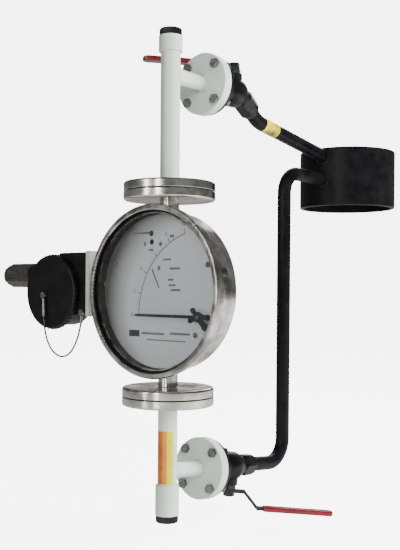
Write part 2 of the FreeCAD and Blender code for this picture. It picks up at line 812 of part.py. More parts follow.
def lanyard_radii():
    """Arc radius at each inner point: 0.45 of the shorter run over tan of half the turn."""
    points = lanyard_points()
    radii = []
    for k in range(1, len(points) - 1):
        before, after = points[k] - points[k - 1], points[k + 1] - points[k]
        turn = before.getAngle(after)
        radii.append(0.45 * min(before.Length, after.Length) / tan(turn / 2))
    return radii


def lanyard_wire():
    return swept(lanyard_points(), lanyard_radii(), wire_r)


def lanyard_screws():
    """Lug screws that hold the wire's two ends, on the cover and on the box."""
    first, last = lanyard_points()[0], lanyard_points()[-1]
    on_cover = lug_screw(vec(first.x, box_front_y - cover_t, first.z + lug_r), first.y)
    on_box = lug_screw(vec(last.x, box_front_y, last.z + lug_r), last.y)
    return Part.Compound([on_cover, on_box])


def lug_screw(seat, wire_y):
    """Round post on a face that looks to the front; the wire ends at its lower side."""
    reach = seat.y - wire_y + lug_t
    post = rod(lug_r, vec(seat.x, seat.y - reach, seat.z), reach, Y)
    slot = block(vec(seat.x - lug_r, seat.y - reach, seat.z - lug_slot / 2),
                 vec(seat.x + lug_r, seat.y - reach + lug_slot, seat.z + lug_slot / 2))
    return post.cut(slot)


def side_bolt(x, z):
    """Hexagon bolt through the side flange and the valve's flange."""
    head = hexagon(side_hex_r, vec(x, side_flange_y - side_hex_t, z), side_hex_t, Y)
    nut_end = valve_flange_y + valve_flange_t + side_hex_t + 1.5
    return fused([head, rod(side_bolt_r, vec(x, side_flange_y, z), nut_end - side_flange_y, Y)])


def side_nut(x, z):
    start = vec(x, valve_flange_y + valve_flange_t, z)
    nut = hexagon(side_hex_r, start, side_hex_t, Y)
    return nut.cut(rod(side_bolt_r, start, side_hex_t, Y))


def on_both_branches(make_one):
    pieces = [make_one(x, z) for x, z in bolt_square()]
    return Part.Compound([branch_place(piece, lower) for lower in (False, True) for piece in pieces])


def side_gaskets():
    start = vec(0, side_flange_y + side_flange_t, 0)
    outer = side_bolt_square / sqrt(2) - side_bolt_r - screw_play
    gasket = ring(outer, stub_bore_r, start, gasket_t, Y)
    return Part.Compound([branch_place(gasket, lower) for lower in (False, True)])


def outlet_axis(dip):
    return vec(0, cos(radians(dip)), -sin(radians(dip)))


def ball_centre():
    return vec(0, stem_y, 0)


def valve_body(lower):
    """Flanged body with a round ball chamber, a bonnet and a hexagonal outlet."""
    dip = 0.0 if lower else upper_dip
    axis = outlet_axis(dip)
    centre = ball_centre()
    bend = outlet_bend_point()
    flange = rod(valve_flange_r, vec(0, valve_flange_y, 0), valve_flange_t, Y)
    flange = round_edges(flange, 1.0,
                         circle_edge_at(valve_flange_r, "y", valve_flange_y + valve_flange_t))
    for x, z in bolt_square():
        flange = flange.cut(rod(side_bolt_r + screw_play, vec(x, valve_flange_y, z), valve_flange_t, Y))
    neck = rod(neck_r, vec(0, valve_flange_y, 0), stem_y - valve_flange_y, Y)
    chamber = Part.makeSphere(body_r, centre)
    bonnet = rod(bonnet_r, centre, bonnet_z)
    outlet = rod(outlet_r, centre, outlet_bend, Y)
    elbow = Part.makeSphere(outlet_r, bend)
    tail = rod(outlet_r, bend, outlet_len, axis)
    nut = hexagon(hex_r, bend + axis * outlet_len, hex_len, axis)
    nut = nut.common(Part.makeCone(hex_r, hex_r * 0.9, hex_len, bend + axis * outlet_len, axis))
    cone = Part.makeCone(hex_r * 0.82, loop_r + 0.8, outlet_cone, bend + axis * hex_end, axis)
    whole = fused([flange, neck, chamber, bonnet, outlet, elbow, tail, nut, cone])
    whole = whole.cut(Part.makeSphere(ball_r + seat_t, centre))
    whole = whole.cut(rod(stub_bore_r, vec(0, valve_flange_y, 0), bend.y - valve_flange_y, Y))
    whole = whole.cut(Part.makeSphere(stub_bore_r, bend)).cut(rod(stub_bore_r, bend, hex_end, axis))
    whole = whole.cut(rod(loop_r, loop_socket(dip), hex_len + outlet_cone, axis))
    return whole.cut(rod(stem_r + running_play, centre, bonnet_z))


def outlet_bend_point():
    return ball_centre() + Y * outlet_bend


def loop_socket(dip):
    """Where the loop pipe's end sits inside the outlet hexagon."""
    return outlet_bend_point() + outlet_axis(dip) * (outlet_len + loop_socket_wall)


def valve_ball(angle):
    """Bored ball with a slot for the stem; bore and slot point along the lever."""
    centre = ball_centre()
    ball = Part.makeSphere(ball_r, centre)
    bore = rod(stub_bore_r, centre - X * ball_r, 2 * ball_r, X)
    slot = block(centre + vec(-ball_r, -stem_slot_w / 2, ball_r - stem_slot_h),
                 centre + vec(ball_r, stem_slot_w / 2, ball_r + 1))
    ball = ball.cut(bore).cut(slot)
    ball.rotate(centre, Z, angle)
    return ball


def valve_seats():
    """Two sealing rings per valve, cupped around the ball."""
    centre = ball_centre()
    seats = []
    for side in (-1, 1):
        start = centre + Y * (side * (ball_r - seat_overlap))
        seat = ring(seat_r, stub_bore_r, start, seat_t + seat_overlap, Y * side)
        cupped = seat.cut(Part.makeSphere(ball_r + seat_gap, centre))
        seats.append(cupped.common(Part.makeSphere(ball_r + seat_t, centre)))
    return Part.Compound([branch_place(seat, lower) for lower in (False, True) for seat in seats])


def valve_stem(angle):
    centre = ball_centre()
    top = lever_z + lever_t + lever_nut_t
    stem = rod(stem_r, centre + Z * (ball_r + 0.4), top - ball_r - 0.4)
    tongue = block(centre + vec(-stem_r + 0.9, -stem_slot_w / 2 + 0.1, ball_r - stem_slot_h + 0.3),
                   centre + vec(stem_r - 0.9, stem_slot_w / 2 - 0.1, ball_r + 1.0))
    whole = fused([stem, tongue])
    whole.rotate(centre, Z, angle)
    return whole


def stem_gland_nuts():
    """Packing nut around each stem, seated on the bonnet."""
    start = ball_centre() + Z * bonnet_z
    nut = hexagon(gland_hexagon_r, start, gland_nut_t).cut(rod(stem_r + running_play, start, gland_nut_t))
    return Part.Compound([branch_place(nut, lower) for lower in (False, True)])


def lever_blank(step, length):
    """Flat bar along +X from the stem, cranked away from the valve by the step."""
    start = ball_centre() + Z * lever_z
    crank = atan2(step, lever_step_to - lever_step_from)
    back = lever_t * tan(crank / 2)
    side = [(-lever_w / 2, 0), (lever_step_from, 0), (lever_step_to, step), (length, step),
            (length, step + lever_t), (lever_step_to - back, step + lever_t),
            (lever_step_from - back, lever_t), (-lever_w / 2, lever_t)]
    outline = [start + vec(x, -lever_w / 2, z) for x, z in side]
    bar = Part.Face(Part.makePolygon(outline + [outline[0]])).extrude(vec(0, lever_w, 0))
    bar = bar.removeSplitter()
    corners = [e for e in bar.Edges if abs(e.Length - lever_t) < 0.01 and abs(e.tangentAt(0).z) > 0.99]
    bar = bar.makeFillet(lever_w * 0.4, corners)
    return bar.cut(rod(stem_r, start, lever_t))


def lever(step, length, angle):
    bar = lever_blank(step, length)
    bar.rotate(ball_centre(), Z, angle)
    return bar


def lever_grip(step, length, grip_from, angle):
    """Moulded sleeve over the lever's outer end."""
    middle = lever_z + step + lever_t / 2
    start = ball_centre() + vec(grip_from, -grip_w / 2, middle - grip_t / 2)
    end = ball_centre() + vec(length + grip_past, grip_w / 2, middle + grip_t / 2)
    sleeve = block(start, end)
    tip = [e for e in sleeve.Edges if abs(e.Length - grip_t) < 0.01 and e.CenterOfMass.x > end.x - 0.01
           and abs(e.tangentAt(0).z) > 0.99]
    sleeve = sleeve.makeFillet(grip_w * 0.4, tip)
    rims = [e for e in sleeve.Edges if abs(e.CenterOfMass.z - middle) > grip_t / 2 - 0.01
            and e.CenterOfMass.x > start.x + 0.01]
    sleeve = sleeve.makeFillet(grip_t * 0.38, rims)
    sleeve = sleeve.cut(lever_blank(step, length))
    sleeve.rotate(ball_centre(), Z, angle)
    return sleeve


def lever_nut(angle):
    start = ball_centre() + Z * (lever_z + lever_t)
    nut = hexagon(lever_nut_r, start, lever_nut_t - 0.6).cut(rod(stem_r, start, lever_nut_t))
    nut.rotate(ball_centre(), Z, angle)
    return nut


def lever_set(lower):
    """Everything that turns with one lever."""
    step = lower_lever_step if lower else upper_lever_step
    length = lower_lever_len if lower else upper_lever_len
    grip_from = lower_grip_from if lower else upper_grip_from
    angle = lower_lever_angle if lower else upper_lever_angle
    side = "lower" if lower else "upper"
    pieces = {"valve_ball": valve_ball(angle), "valve_stem": valve_stem(angle),
              "lever": lever(step, length, angle),
              "lever_grip": lever_grip(step, length, grip_from, angle),
              "lever_nut": lever_nut(angle)}
    return {side + "_" + name: branch_place(piece, lower) for name, piece in pieces.items()}


def carrier_ring():
    """Short wall of main-line pipe with a seat for the orifice plate and two pressure taps."""
    wall = ring(ring_r, ring_bore_r, vec(0, ring_y, ring_low_z), ring_high_z - ring_low_z)
    wall = wall.cut(rod(plate_seat_r, vec(0, ring_y, plate_low_z), ring_high_z - plate_low_z))
    outer = [e for e in wall.Edges if circle_edge_at(ring_r, "z", ring_low_z)(e)
             or circle_edge_at(ring_r, "z", ring_high_z)(e)
             or circle_edge_at(ring_bore_r, "z", plate_low_z)(e)]
    wall = wall.makeChamfer(ring_edge, outer)
    for tap_z in (upper_tap_z, lower_tap_z):
        start = vec(0, ring_y - ring_r - saddle_depth, tap_z)
        wall = wall.cut(rod(stub_bore_r, start, ring_wall + 2 * saddle_depth, Y))
    return wall


def orifice_plate():
    outer_r = plate_seat_r - running_play
    return ring(outer_r, main_orifice_r, vec(0, ring_y, plate_low_z), main_plate_t)


def loop_pipe(points, radii):
    """Bent tube whose last end is saddled onto the carrier ring."""
    outer = swept(points, radii, loop_r)
    inner = swept(points, radii, stub_bore_r)
    saddle = rod(ring_r, vec(0, ring_y, ring_low_z), ring_high_z - ring_low_z)
    return outer.cut(inner).cut(saddle)


def upper_loop_pipe():
    lift = Z * upper_branch_z
    kink_along = (kink_y - stem_y - outlet_bend) / cos(radians(upper_dip))
    kink = outlet_bend_point() + outlet_axis(upper_dip) * kink_along + lift
    end = vec(0, loop_end_y, upper_tap_z)
    return loop_pipe([loop_socket(upper_dip) + lift, kink, end], [upper_kink_r])


def lower_loop_pipe():
    droop = radians(lower_droop)
    along = loop_socket(0).y
    start = vec(0, along * cos(droop), lower_branch_z - along * sin(droop))
    foot = vec(0, riser_y, lower_branch_z - riser_y * tan(droop))
    top = vec(0, riser_y, lower_tap_z)
    end = vec(0, loop_end_y, lower_tap_z)
    return loop_pipe([start, foot, top, end], [loop_bend_r, loop_bend_r])


def dial_set():
    """The dial's own pieces, at the dial's height."""
    pieces = {"dial_case": dial_case(), "bezel_ring": bezel_ring(), "dial_glass": dial_glass(),
              "glass_gasket": glass_gasket(), "dial_plate": dial_plate(),
              "dial_pillars": dial_pillars(), "dial_screws": dial_screws(), "case_plug": case_plug()}
    return {name: dial_place(piece) for name, piece in pieces.items()}


def all_pieces():
    pieces = {
        "upper_spool": spool(False), "lower_spool": spool(True), "end_plugs": end_plugs(),
        "upper_line_flange": line_flange(), "lower_line_flange": mirrored(line_flange()),
        "line_gaskets": line_gaskets(), "flange_screws": flange_screws(),
        "metering_tube": metering_tube(), "metering_orifice": metering_orifice(),
        "float_guides": float_guides(), "float": flow_float(), "float_magnet": float_magnet(),
        "bearing_bracket": bearing_bracket(),
        "shaft_bearings": shaft_bearings(), "pointer_shaft": pointer_shaft(),
        "follower_arm": follower_arm(), "follower_magnet": follower_magnet(),
        "pointer": pointer(), "pointer_balance": pointer_balance(), "alarm_switch": alarm_switch(),
        "box_adaptor": box_adaptor(), "terminal_box": terminal_box(), "box_cover": box_cover(),
        "cover_seal": cover_seal(), "terminal_block": terminal_block(),
        "gland_body": gland_body(), "gland_seal": gland_seal(), "gland_nut": gland_nut(),
        "lanyard_wire": lanyard_wire(), "lanyard_screws": lanyard_screws(),
        "side_flange_bolts": on_both_branches(side_bolt),
        "side_flange_nuts": on_both_branches(side_nut), "side_gaskets": side_gaskets(),
        "upper_valve_body": branch_place(valve_body(False), False),
        "lower_valve_body": branch_place(valve_body(True), True),
        "valve_seats": valve_seats(), "stem_gland_nuts": stem_gland_nuts(),
        "upper_loop_pipe": upper_loop_pipe(), "lower_loop_pipe": lower_loop_pipe(),
        "carrier_ring": carrier_ring(), "orifice_plate": orifice_plate(),
    }
    pieces.update(dial_set())
    pieces.update(lever_set(False))
    pieces.update(lever_set(True))
    return pieces


os.makedirs("parts", exist_ok=True)
for name, shape in all_pieces().items():
    placed = shape.copy()
    placed.translate(origin_shift)
    placed.exportStep("parts/" + name + ".step")

wire = lanyard_wire()
expected = 3.14159265 * wire_r ** 2 * path_wire(lanyard_points(), lanyard_radii()).Length
print("lanyard arc radii", [round(radius, 1) for radius in lanyard_radii()])
print("lanyard volume over section times length", round(wire.Volume / expected, 4))
print("float lift", round(float_lift, 3))
print("pointer turn over float lift", round(radians(sweep_deg) / (float_lift / 1000), 4))
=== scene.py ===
"""Bypass rotameter: finishes, welds, dial print, labels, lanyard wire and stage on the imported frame."""
import json
import math

import bmesh
import bpy
from bpy.props import FloatProperty, FloatVectorProperty, IntProperty, PointerProperty
from bpy.types import Operator, Panel, PropertyGroup
from mathutils import Matrix, Vector


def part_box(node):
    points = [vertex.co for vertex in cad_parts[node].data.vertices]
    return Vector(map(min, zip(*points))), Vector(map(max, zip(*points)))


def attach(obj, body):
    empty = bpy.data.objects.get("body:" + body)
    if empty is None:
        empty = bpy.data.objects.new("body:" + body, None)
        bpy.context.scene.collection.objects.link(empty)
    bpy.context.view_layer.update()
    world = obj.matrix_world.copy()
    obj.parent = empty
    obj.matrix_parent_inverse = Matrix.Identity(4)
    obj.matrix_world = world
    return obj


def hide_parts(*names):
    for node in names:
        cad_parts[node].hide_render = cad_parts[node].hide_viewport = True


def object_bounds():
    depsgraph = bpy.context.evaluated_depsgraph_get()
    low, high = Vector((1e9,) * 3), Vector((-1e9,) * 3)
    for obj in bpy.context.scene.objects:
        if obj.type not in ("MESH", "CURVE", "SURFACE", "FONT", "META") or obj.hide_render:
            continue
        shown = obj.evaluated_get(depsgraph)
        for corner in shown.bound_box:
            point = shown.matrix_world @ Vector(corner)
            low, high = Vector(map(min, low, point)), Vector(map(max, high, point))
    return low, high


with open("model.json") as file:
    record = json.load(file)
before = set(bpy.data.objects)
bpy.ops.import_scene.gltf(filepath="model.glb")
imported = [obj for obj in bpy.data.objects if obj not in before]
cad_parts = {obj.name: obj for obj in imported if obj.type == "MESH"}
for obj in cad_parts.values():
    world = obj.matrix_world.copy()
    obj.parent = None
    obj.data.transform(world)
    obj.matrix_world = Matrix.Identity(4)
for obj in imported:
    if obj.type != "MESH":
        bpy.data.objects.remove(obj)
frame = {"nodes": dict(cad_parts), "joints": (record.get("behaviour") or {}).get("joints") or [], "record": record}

bl_info = {
    "name": "Bypass rotameter",
    "version": (1, 0, 0),
    "blender": (4, 5, 0),
    "location": "3D View > Sidebar > Rotameter",
    "description": "Finishes a bypass rotameter on its packed frame",
    "category": "Add Mesh",
}

CAD_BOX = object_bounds()
MM = 0.001
FULL_TURN = 2 * math.pi
PRINT_HALF_MM = 0.03
X, Y, Z = Vector((1, 0, 0)), Vector((0, 1, 0)), Vector((0, 0, 1))
TUBE_LOW, TUBE_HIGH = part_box("metering_tube")
DIAL_CENTRE = (TUBE_LOW + TUBE_HIGH) / 2
CASE_LOW, CASE_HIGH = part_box("bezel_ring")
CASE_CENTRE = (CASE_LOW + CASE_HIGH) / 2
BODY_OF = {node: body for body, nodes in frame["record"]["behaviour"]["bodies"].items()
           for node in nodes}
SLOT_OF = {part["node"]: part["material_slot"] for part in frame["record"]["subparts"]}


def at(x, y, z):
    """A point given in millimetres from the dial's centre on the metering tube's axis."""
    return DIAL_CENTRE + Vector((x, y, z)) * MM


def joint_point(name):
    """A point on a joint's axis, from the frame."""
    for joint in frame["joints"]:
        if joint["name"] == name:
            return Vector(joint["pos_m"])
    raise KeyError(name)


def linear(code, alpha=1.0):
    """A colour written as sRGB hex, as the linear values that shaders use."""
    parts = [int(code[k:k + 2], 16) / 255 for k in (1, 3, 5)]
    return tuple(c / 12.92 if c <= 0.04045 else ((c + 0.055) / 1.055) ** 2.4 for c in parts) + (alpha,)


def shaded(colour, share):
    """A linear colour made darker by a share, for the worn or shaded tone of a finish."""
    return tuple(value * share for value in colour[:3]) + (1.0,)


def add_node(tree, kind, settings=None, links=None):
    """Adds a node, sets its fields and sockets, and links its inputs."""
    node = tree.nodes.new(kind)
    for key, value in (settings or {}).items():
        if hasattr(node, key) and key not in node.inputs:
            setattr(node, key, value)
        else:
            node.inputs[key].default_value = value
    for key, source in (links or {}).items():
        tree.links.new(source, node.inputs[key])
    return node


def start_material(name):
    """A new material with its emptied node tree and its object coordinates."""
    material = bpy.data.materials.new(name)
    material.use_nodes = True
    tree = material.node_tree
    tree.nodes.clear()
    place = add_node(tree, "ShaderNodeTexCoord").outputs["Object"]
    return material, tree, place


def end_material(tree, shader):
    """Links the shader to the material's output."""
    add_node(tree, "ShaderNodeOutputMaterial", links={"Surface": shader.outputs["BSDF"]})


def per_metre(millimetres):
    """Texture scale for a pattern of the given size."""
    return 1000.0 / millimetres


def noise_bump(tree, place, size_mm, depth_mm, detail=3.0):
    """A bump normal from noise grains of one size."""
    grain = add_node(tree, "ShaderNodeTexNoise", {"Scale": per_metre(size_mm), "Detail": detail},
                     {"Vector": place})
    bump = add_node(tree, "ShaderNodeBump", {"Strength": 1.0, "Distance": depth_mm * MM},
                    {"Height": grain.outputs["Fac"]})
    return grain, bump.outputs["Normal"]


def two_tone(tree, factor, low, high, start=0.35, end=0.65):
    """A colour that runs from one tone to another, each in sRGB hex or linear, with a factor."""
    ramp = add_node(tree, "ShaderNodeValToRGB", links={"Fac": factor})
    for element, position, tone in zip(ramp.color_ramp.elements, (start, end), (low, high)):
        element.position = position
        element.color = linear(tone) if isinstance(tone, str) else tone
    return ramp.outputs["Color"]


def ranged(tree, factor, low, high):
    """A value spread over a range, for roughness."""
    spread = add_node(tree, "ShaderNodeMapRange", {"To Min": low, "To Max": high}, {"Value": factor})
    return spread.outputs["Result"]


def enamel(name, light, shade, roughness=0.32, peel_mm=2.2):
    """Sprayed enamel on steel pipe: even colour, faint orange peel, a soft gloss."""
    material, tree, place = start_material(name)
    peel_depth_mm, cloud_mm = 0.03, 45
    _, normal = noise_bump(tree, place, peel_mm, peel_depth_mm)
    cloud = add_node(tree, "ShaderNodeTexNoise", {"Scale": per_metre(cloud_mm), "Detail": 4.0},
                     {"Vector": place})
    colour = two_tone(tree, cloud.outputs["Fac"], shade, light)
    rough = ranged(tree, cloud.outputs["Fac"], roughness - 0.06, roughness + 0.1)
    shader = add_node(tree, "ShaderNodeBsdfPrincipled", {"Coat Weight": 0.25, "Coat Roughness": 0.15},
                      {"Base Color": colour, "Roughness": rough, "Normal": normal})
    end_material(tree, shader)
    return material


def cast_enamel(name, light, shade, grain_mm=1.6, depth_mm=0.16, roughness=0.4, gloss=0.22):
    """Black enamel over a sand casting: grainy surface that catches broken highlights."""
    material, tree, place = start_material(name)
    cloud_mm, detail = 14, 5.0
    _, normal = noise_bump(tree, place, grain_mm, depth_mm, detail)
    cloud = add_node(tree, "ShaderNodeTexNoise", {"Scale": per_metre(cloud_mm), "Detail": detail},
                     {"Vector": place})
    colour = two_tone(tree, cloud.outputs["Fac"], shade, light)
    rough = ranged(tree, cloud.outputs["Fac"], roughness - 0.12, roughness + 0.16)
    shader = add_node(tree, "ShaderNodeBsdfPrincipled", {"Specular IOR Level": gloss},
                      {"Base Color": colour, "Roughness": rough, "Normal": normal})
    end_material(tree, shader)
    return material


def turned_steel(name, light, shade, axis, centre, roughness=0.26, pitch_mm=0.9):
    """Stainless steel off the lathe: rings round its axis, drawn coarser than real ones so that they show."""
    cloud_mm, ring_depth_mm, bands_per_scale = 22, 0.02, 20
    material, tree, place = start_material(name)
    moved = add_node(tree, "ShaderNodeMapping", {"Location": tuple(-centre)}, {"Vector": place})
    rings = add_node(tree, "ShaderNodeTexWave",
                     {"wave_type": "RINGS", "rings_direction": axis, "wave_profile": "SAW",
                      "Scale": per_metre(pitch_mm) / bands_per_scale, "Distortion": 0.6, "Detail": 2.0},
                     {"Vector": moved.outputs["Vector"]})
    bump = add_node(tree, "ShaderNodeBump", {"Strength": 0.25, "Distance": ring_depth_mm * MM},
                    {"Height": rings.outputs["Fac"]})
    cloud = add_node(tree, "ShaderNodeTexNoise", {"Scale": per_metre(cloud_mm), "Detail": 4.0},
                     {"Vector": place})
    colour = two_tone(tree, cloud.outputs["Fac"], shade, light)
    rough = ranged(tree, cloud.outputs["Fac"], roughness - 0.06, roughness + 0.14)
    shader = add_node(tree, "ShaderNodeBsdfPrincipled", {"Metallic": 1.0},
                      {"Base Color": colour, "Roughness": rough, "Normal": bump.outputs["Normal"]})
    end_material(tree, shader)
    return material


def plain_metal(name, light, shade, roughness=0.3, metallic=1.0, grain_mm=6.0, depth_mm=0.02):
    """Drawn or plated metal with a slightly uneven bloom."""
    material, tree, place = start_material(name)
    grain, normal = noise_bump(tree, place, grain_mm, depth_mm)
    colour = two_tone(tree, grain.outputs["Fac"], shade, light)
    rough = ranged(tree, grain.outputs["Fac"], roughness - 0.06, roughness + 0.12)
    shader = add_node(tree, "ShaderNodeBsdfPrincipled", {"Metallic": metallic},
                      {"Base Color": colour, "Roughness": rough, "Normal": normal})
    end_material(tree, shader)
    return material


def moulded(name, light, shade, roughness=0.45, grain_mm=1.2, depth_mm=0.04, coat=0.0):
    """Moulded or printed plastic and rubber: fine even grain."""
    cloud_mm = 18
    material, tree, place = start_material(name)
    grain, normal = noise_bump(tree, place, grain_mm, depth_mm)
    cloud = add_node(tree, "ShaderNodeTexNoise", {"Scale": per_metre(cloud_mm), "Detail": 3.0},
                     {"Vector": place})
    colour = two_tone(tree, cloud.outputs["Fac"], shade, light)
    rough = ranged(tree, grain.outputs["Fac"], roughness - 0.05, roughness + 0.08)
    shader = add_node(tree, "ShaderNodeBsdfPrincipled", {"Coat Weight": coat, "Coat Roughness": 0.12},
                      {"Base Color": colour, "Roughness": rough, "Normal": normal})
    end_material(tree, shader)
    return material


def dial_enamel_painted_shade(name, light, shade, centre, reach_mm=130.0):
    """Matt enamel on the dial plate: fine grain, and painted shade that darkens it with distance from a centre,
    towards the terminal box.
    """
    grain_mm, depth_mm = 0.8, 0.01
    shade_from, shade_to = 0.1, 0.36
    material, tree, place = start_material(name)
    grain, normal = noise_bump(tree, place, grain_mm, depth_mm)
    spread = per_metre(reach_mm)
    moved = add_node(tree, "ShaderNodeMapping",
                     {"Location": tuple(-centre * spread), "Scale": (spread, spread, spread)},
                     {"Vector": place})
    # painted shade: a spherical gradient darkens the enamel away from the centre, towards the left of the plate
    painted_shade = add_node(tree, "ShaderNodeTexGradient", {"gradient_type": "SPHERICAL"},
                    {"Vector": moved.outputs["Vector"]})
    colour = two_tone(tree, painted_shade.outputs["Fac"], shade, light, shade_from, shade_to)
    rough = ranged(tree, grain.outputs["Fac"], 0.45, 0.58)
    shader = add_node(tree, "ShaderNodeBsdfPrincipled",
                      links={"Base Color": colour, "Roughness": rough, "Normal": normal})
    end_material(tree, shader)
    return material


def window_glass(name):
    """Flat float glass, clear, with a few soft smears."""
    smear_mm = 60
    material, tree, place = start_material(name)
    smear = add_node(tree, "ShaderNodeTexNoise", {"Scale": per_metre(smear_mm), "Detail": 4.0},
                     {"Vector": place})
    rough = ranged(tree, smear.outputs["Fac"], 0.0, 0.05)
    shader = add_node(tree, "ShaderNodeBsdfPrincipled",
                      {"Base Color": linear("#F7FAF8"), "Transmission Weight": 1.0, "IOR": 1.45},
                      {"Roughness": rough})
    end_material(tree, shader)
    return material


class RotameterColours(PropertyGroup):
    """Main colours that a user would change."""
    pipe: FloatVectorProperty(name="Pipe enamel", description="Colour of the painted line pipe",
                              subtype="COLOR", default=linear("#DCE7DC")[:3])
    grip: FloatVectorProperty(name="Lever grips", description="Colour of the dipped lever grips",
                              subtype="COLOR", default=linear("#860E22")[:3])


class DialSizes(PropertyGroup):
    """Sizes of the print on the dial plate, from the pointer's pivot."""
    scale_radius: FloatProperty(name="Scale radius", description="From the pointer's pivot to the scale line",
                                default=90 * MM, unit="LENGTH")
    sweep: FloatProperty(name="Sweep", description="Angle that the scale covers",
                         default=math.radians(75), subtype="ANGLE")
    divisions: IntProperty(name="Divisions", description="Figured divisions of the scale", default=5, min=2)
    line_width: FloatProperty(name="Line width", description="Width of the scale line", default=1.1 * MM,
                              unit="LENGTH")


class StageSizes(PropertyGroup):
    """Camera and floor."""
    focal_px: FloatProperty(name="Focal length", description="In pixels of the photograph's frame",
                            default=853.6)
    floor_gap: FloatProperty(name="Floor gap", description="Floor below the lowest piece",
                             default=20 * MM, unit="LENGTH")
    ambient: FloatProperty(name="Ambient", description="Strength of the light from all sides",
                           default=0.2)
    backdrop: FloatProperty(name="Backdrop", description="Brightness of the white behind the object",
                            default=6.0)


def make_materials(colours):
    """Every finish, named for what the real one is."""
    pipe, grip = (*colours.pipe, 1.0), (*colours.grip, 1.0)
    disc, case = DIAL_CENTRE, CASE_CENTRE
    return {
        # Sprayed enamel: even, slightly glossy, pale green-white
        "light_paint": enamel("pale_green_pipe_enamel", pipe, shaded(pipe, 0.86)),
        "weld_paint": enamel("enamel_over_weld", shaded(pipe, 0.94), shaded(pipe, 0.74), 0.36, 1.2),
        # Turned stainless: bright with streaks of soft reflection
        "turned_steel": turned_steel("turned_stainless_disc", "#DCDAD0", "#A09E95", "Z", disc, 0.18),
        "case_steel": turned_steel("turned_stainless_case", "#D5D2CC", "#8C8882", "Y", case, 0.24),
        # Brown-black on the case's bore: painted shade in the recess behind the glass
        "case_inside": moulded("case_bore_painted_shade", "#2B261F", "#1C1915", 0.6),
        # Castings under black enamel: near black, with broken highlights on the grain
        "black_casting": cast_enamel("black_enamel_on_casting", "#161617", "#070708", 2.6, 0.34, 0.34, 0.3),
        "black_pipe": cast_enamel("black_enamel_on_pipe", "#121113", "#080709", 9.0, 0.06, 0.42, 0.14),
        "weld_black": cast_enamel("black_enamel_over_weld", "#161517", "#080709", 1.0, 0.1),
        "box_black": cast_enamel("black_powder_on_casting", "#161315", "#0A090A", 1.4, 0.06, 0.42, 0.2),
        "plug_black": moulded("black_end_plug", "#0C0C0C", "#050505", 0.6),
        # Zinc and stainless fasteners: duller zinc, mirror-like stainless
        "zinc_steel": plain_metal("zinc_plated_steel", "#8B908A", "#666B66", 0.38),
        "polished_steel": plain_metal("polished_stainless", "#C8C8C6", "#B5B5B3", 0.14),
        "lever_steel": cast_enamel("dark_zinc_lever_steel", "#262B28", "#151816", 2.0, 0.03, 0.3, 0.4),
        "wire_steel": plain_metal("stainless_lanyard_wire", "#4E564F", "#363C37", 0.4),
        "ferrule_alloy": plain_metal("crimped_alloy_ferrule", "#8E8C90", "#67656A", 0.42),
        "gland_grey": plain_metal("weathered_gland_alloy", "#55534D", "#35332F", 0.5, 0.6, 2.4, 0.14),
        "magnet_grey": plain_metal("ferrite_magnet", "#4A4A4C", "#363638", 0.5),
        "bronze": plain_metal("sintered_bronze", "#B08A52", "#8F6E3E", 0.45),
        # Rubber, seats and moulded plastic: matt and even
        "seal_rubber": moulded("black_nitrile_rubber", "#101010", "#080808", 0.7),
        "white_seat": moulded("ptfe_seat", "#E6E5DF", "#D9D8D2", 0.5),
        "terminal_plastic": moulded("terminal_polyamide", "#CFCFC4", "#C2C2B8", 0.5),
        "grip_red": moulded("dipped_red_vinyl", grip, shaded(grip, 0.6), 0.34, 3.0, 0.05, 0.3),
        # Dial: grey-violet enamel with painted shade towards its terminal-box side, soft black print, matt black
        # pointer
        # painted shade: the enamel darkens with distance from this centre
        "dial_paint": dial_enamel_painted_shade("dial_enamel_with_painted_shade", "#CBC9CE", "#4A4843", at(38, -14, -12)),
        "dial_black": moulded("matt_black_pointer_paint", "#0E0D0F", "#070708", 0.5),
        "print_black": moulded("black_print", "#1C1A1D", "#151316", 0.5, 0.6, 0.005),
        "print_grey": moulded("grey_print", "#66666B", "#58585E", 0.5, 0.6, 0.005),
        "window_glass": window_glass("float_glass"),
        # Label film: saturated and glossy
        "label_yellow": moulded("yellow_label_film", "#E0DC00", "#CFC800", 0.4, 4.0, 0.02, 0.1),
        "label_orange": moulded("orange_label_film", "#F08A00", "#D87800", 0.4, 4.0, 0.02, 0.1),
        "label_amber": moulded("dark_orange_label_film", "#CC7400", "#A45200", 0.4, 12.0, 0.02, 0.1),
        "label_olive": moulded("worn_yellow_label_film", "#DDD000", "#6A6408", 0.4, 6.0, 0.02, 0.1),
        "label_white": moulded("white_label_edge", "#DAD2EC", "#C8C0DF", 0.35, 4.0, 0.02, 0.3),
    }


MATERIALS = {}


def finish_of(slot):
    """The finish of a name; all finishes are made at the first call."""
    if not MATERIALS:
        MATERIALS.update(make_materials(bpy.context.scene.rotameter_colours))
    return MATERIALS[slot]


def smooth(mesh, degrees=32):
    """Smooth shading that keeps edges sharper than an angle."""
    mesh.polygons.foreach_set("use_smooth", [True] * len(mesh.polygons))
    mesh.set_sharp_from_angle(angle=math.radians(degrees))


def make_piece(name, bm, slot, body="base", finish=None, stands_for=()):
    """Turns a bmesh into a piece that rides on a body and takes a finish."""
    mesh = bpy.data.meshes.new(name)
    bm.to_mesh(mesh)
    bm.free()
    mesh.materials.append(finish_of(finish or slot))
    smooth(mesh)
    piece = bpy.data.objects.new(name, mesh)
    bpy.context.scene.collection.objects.link(piece)
    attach(piece, body)
    if stands_for:
        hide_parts(*stands_for)
    return piece


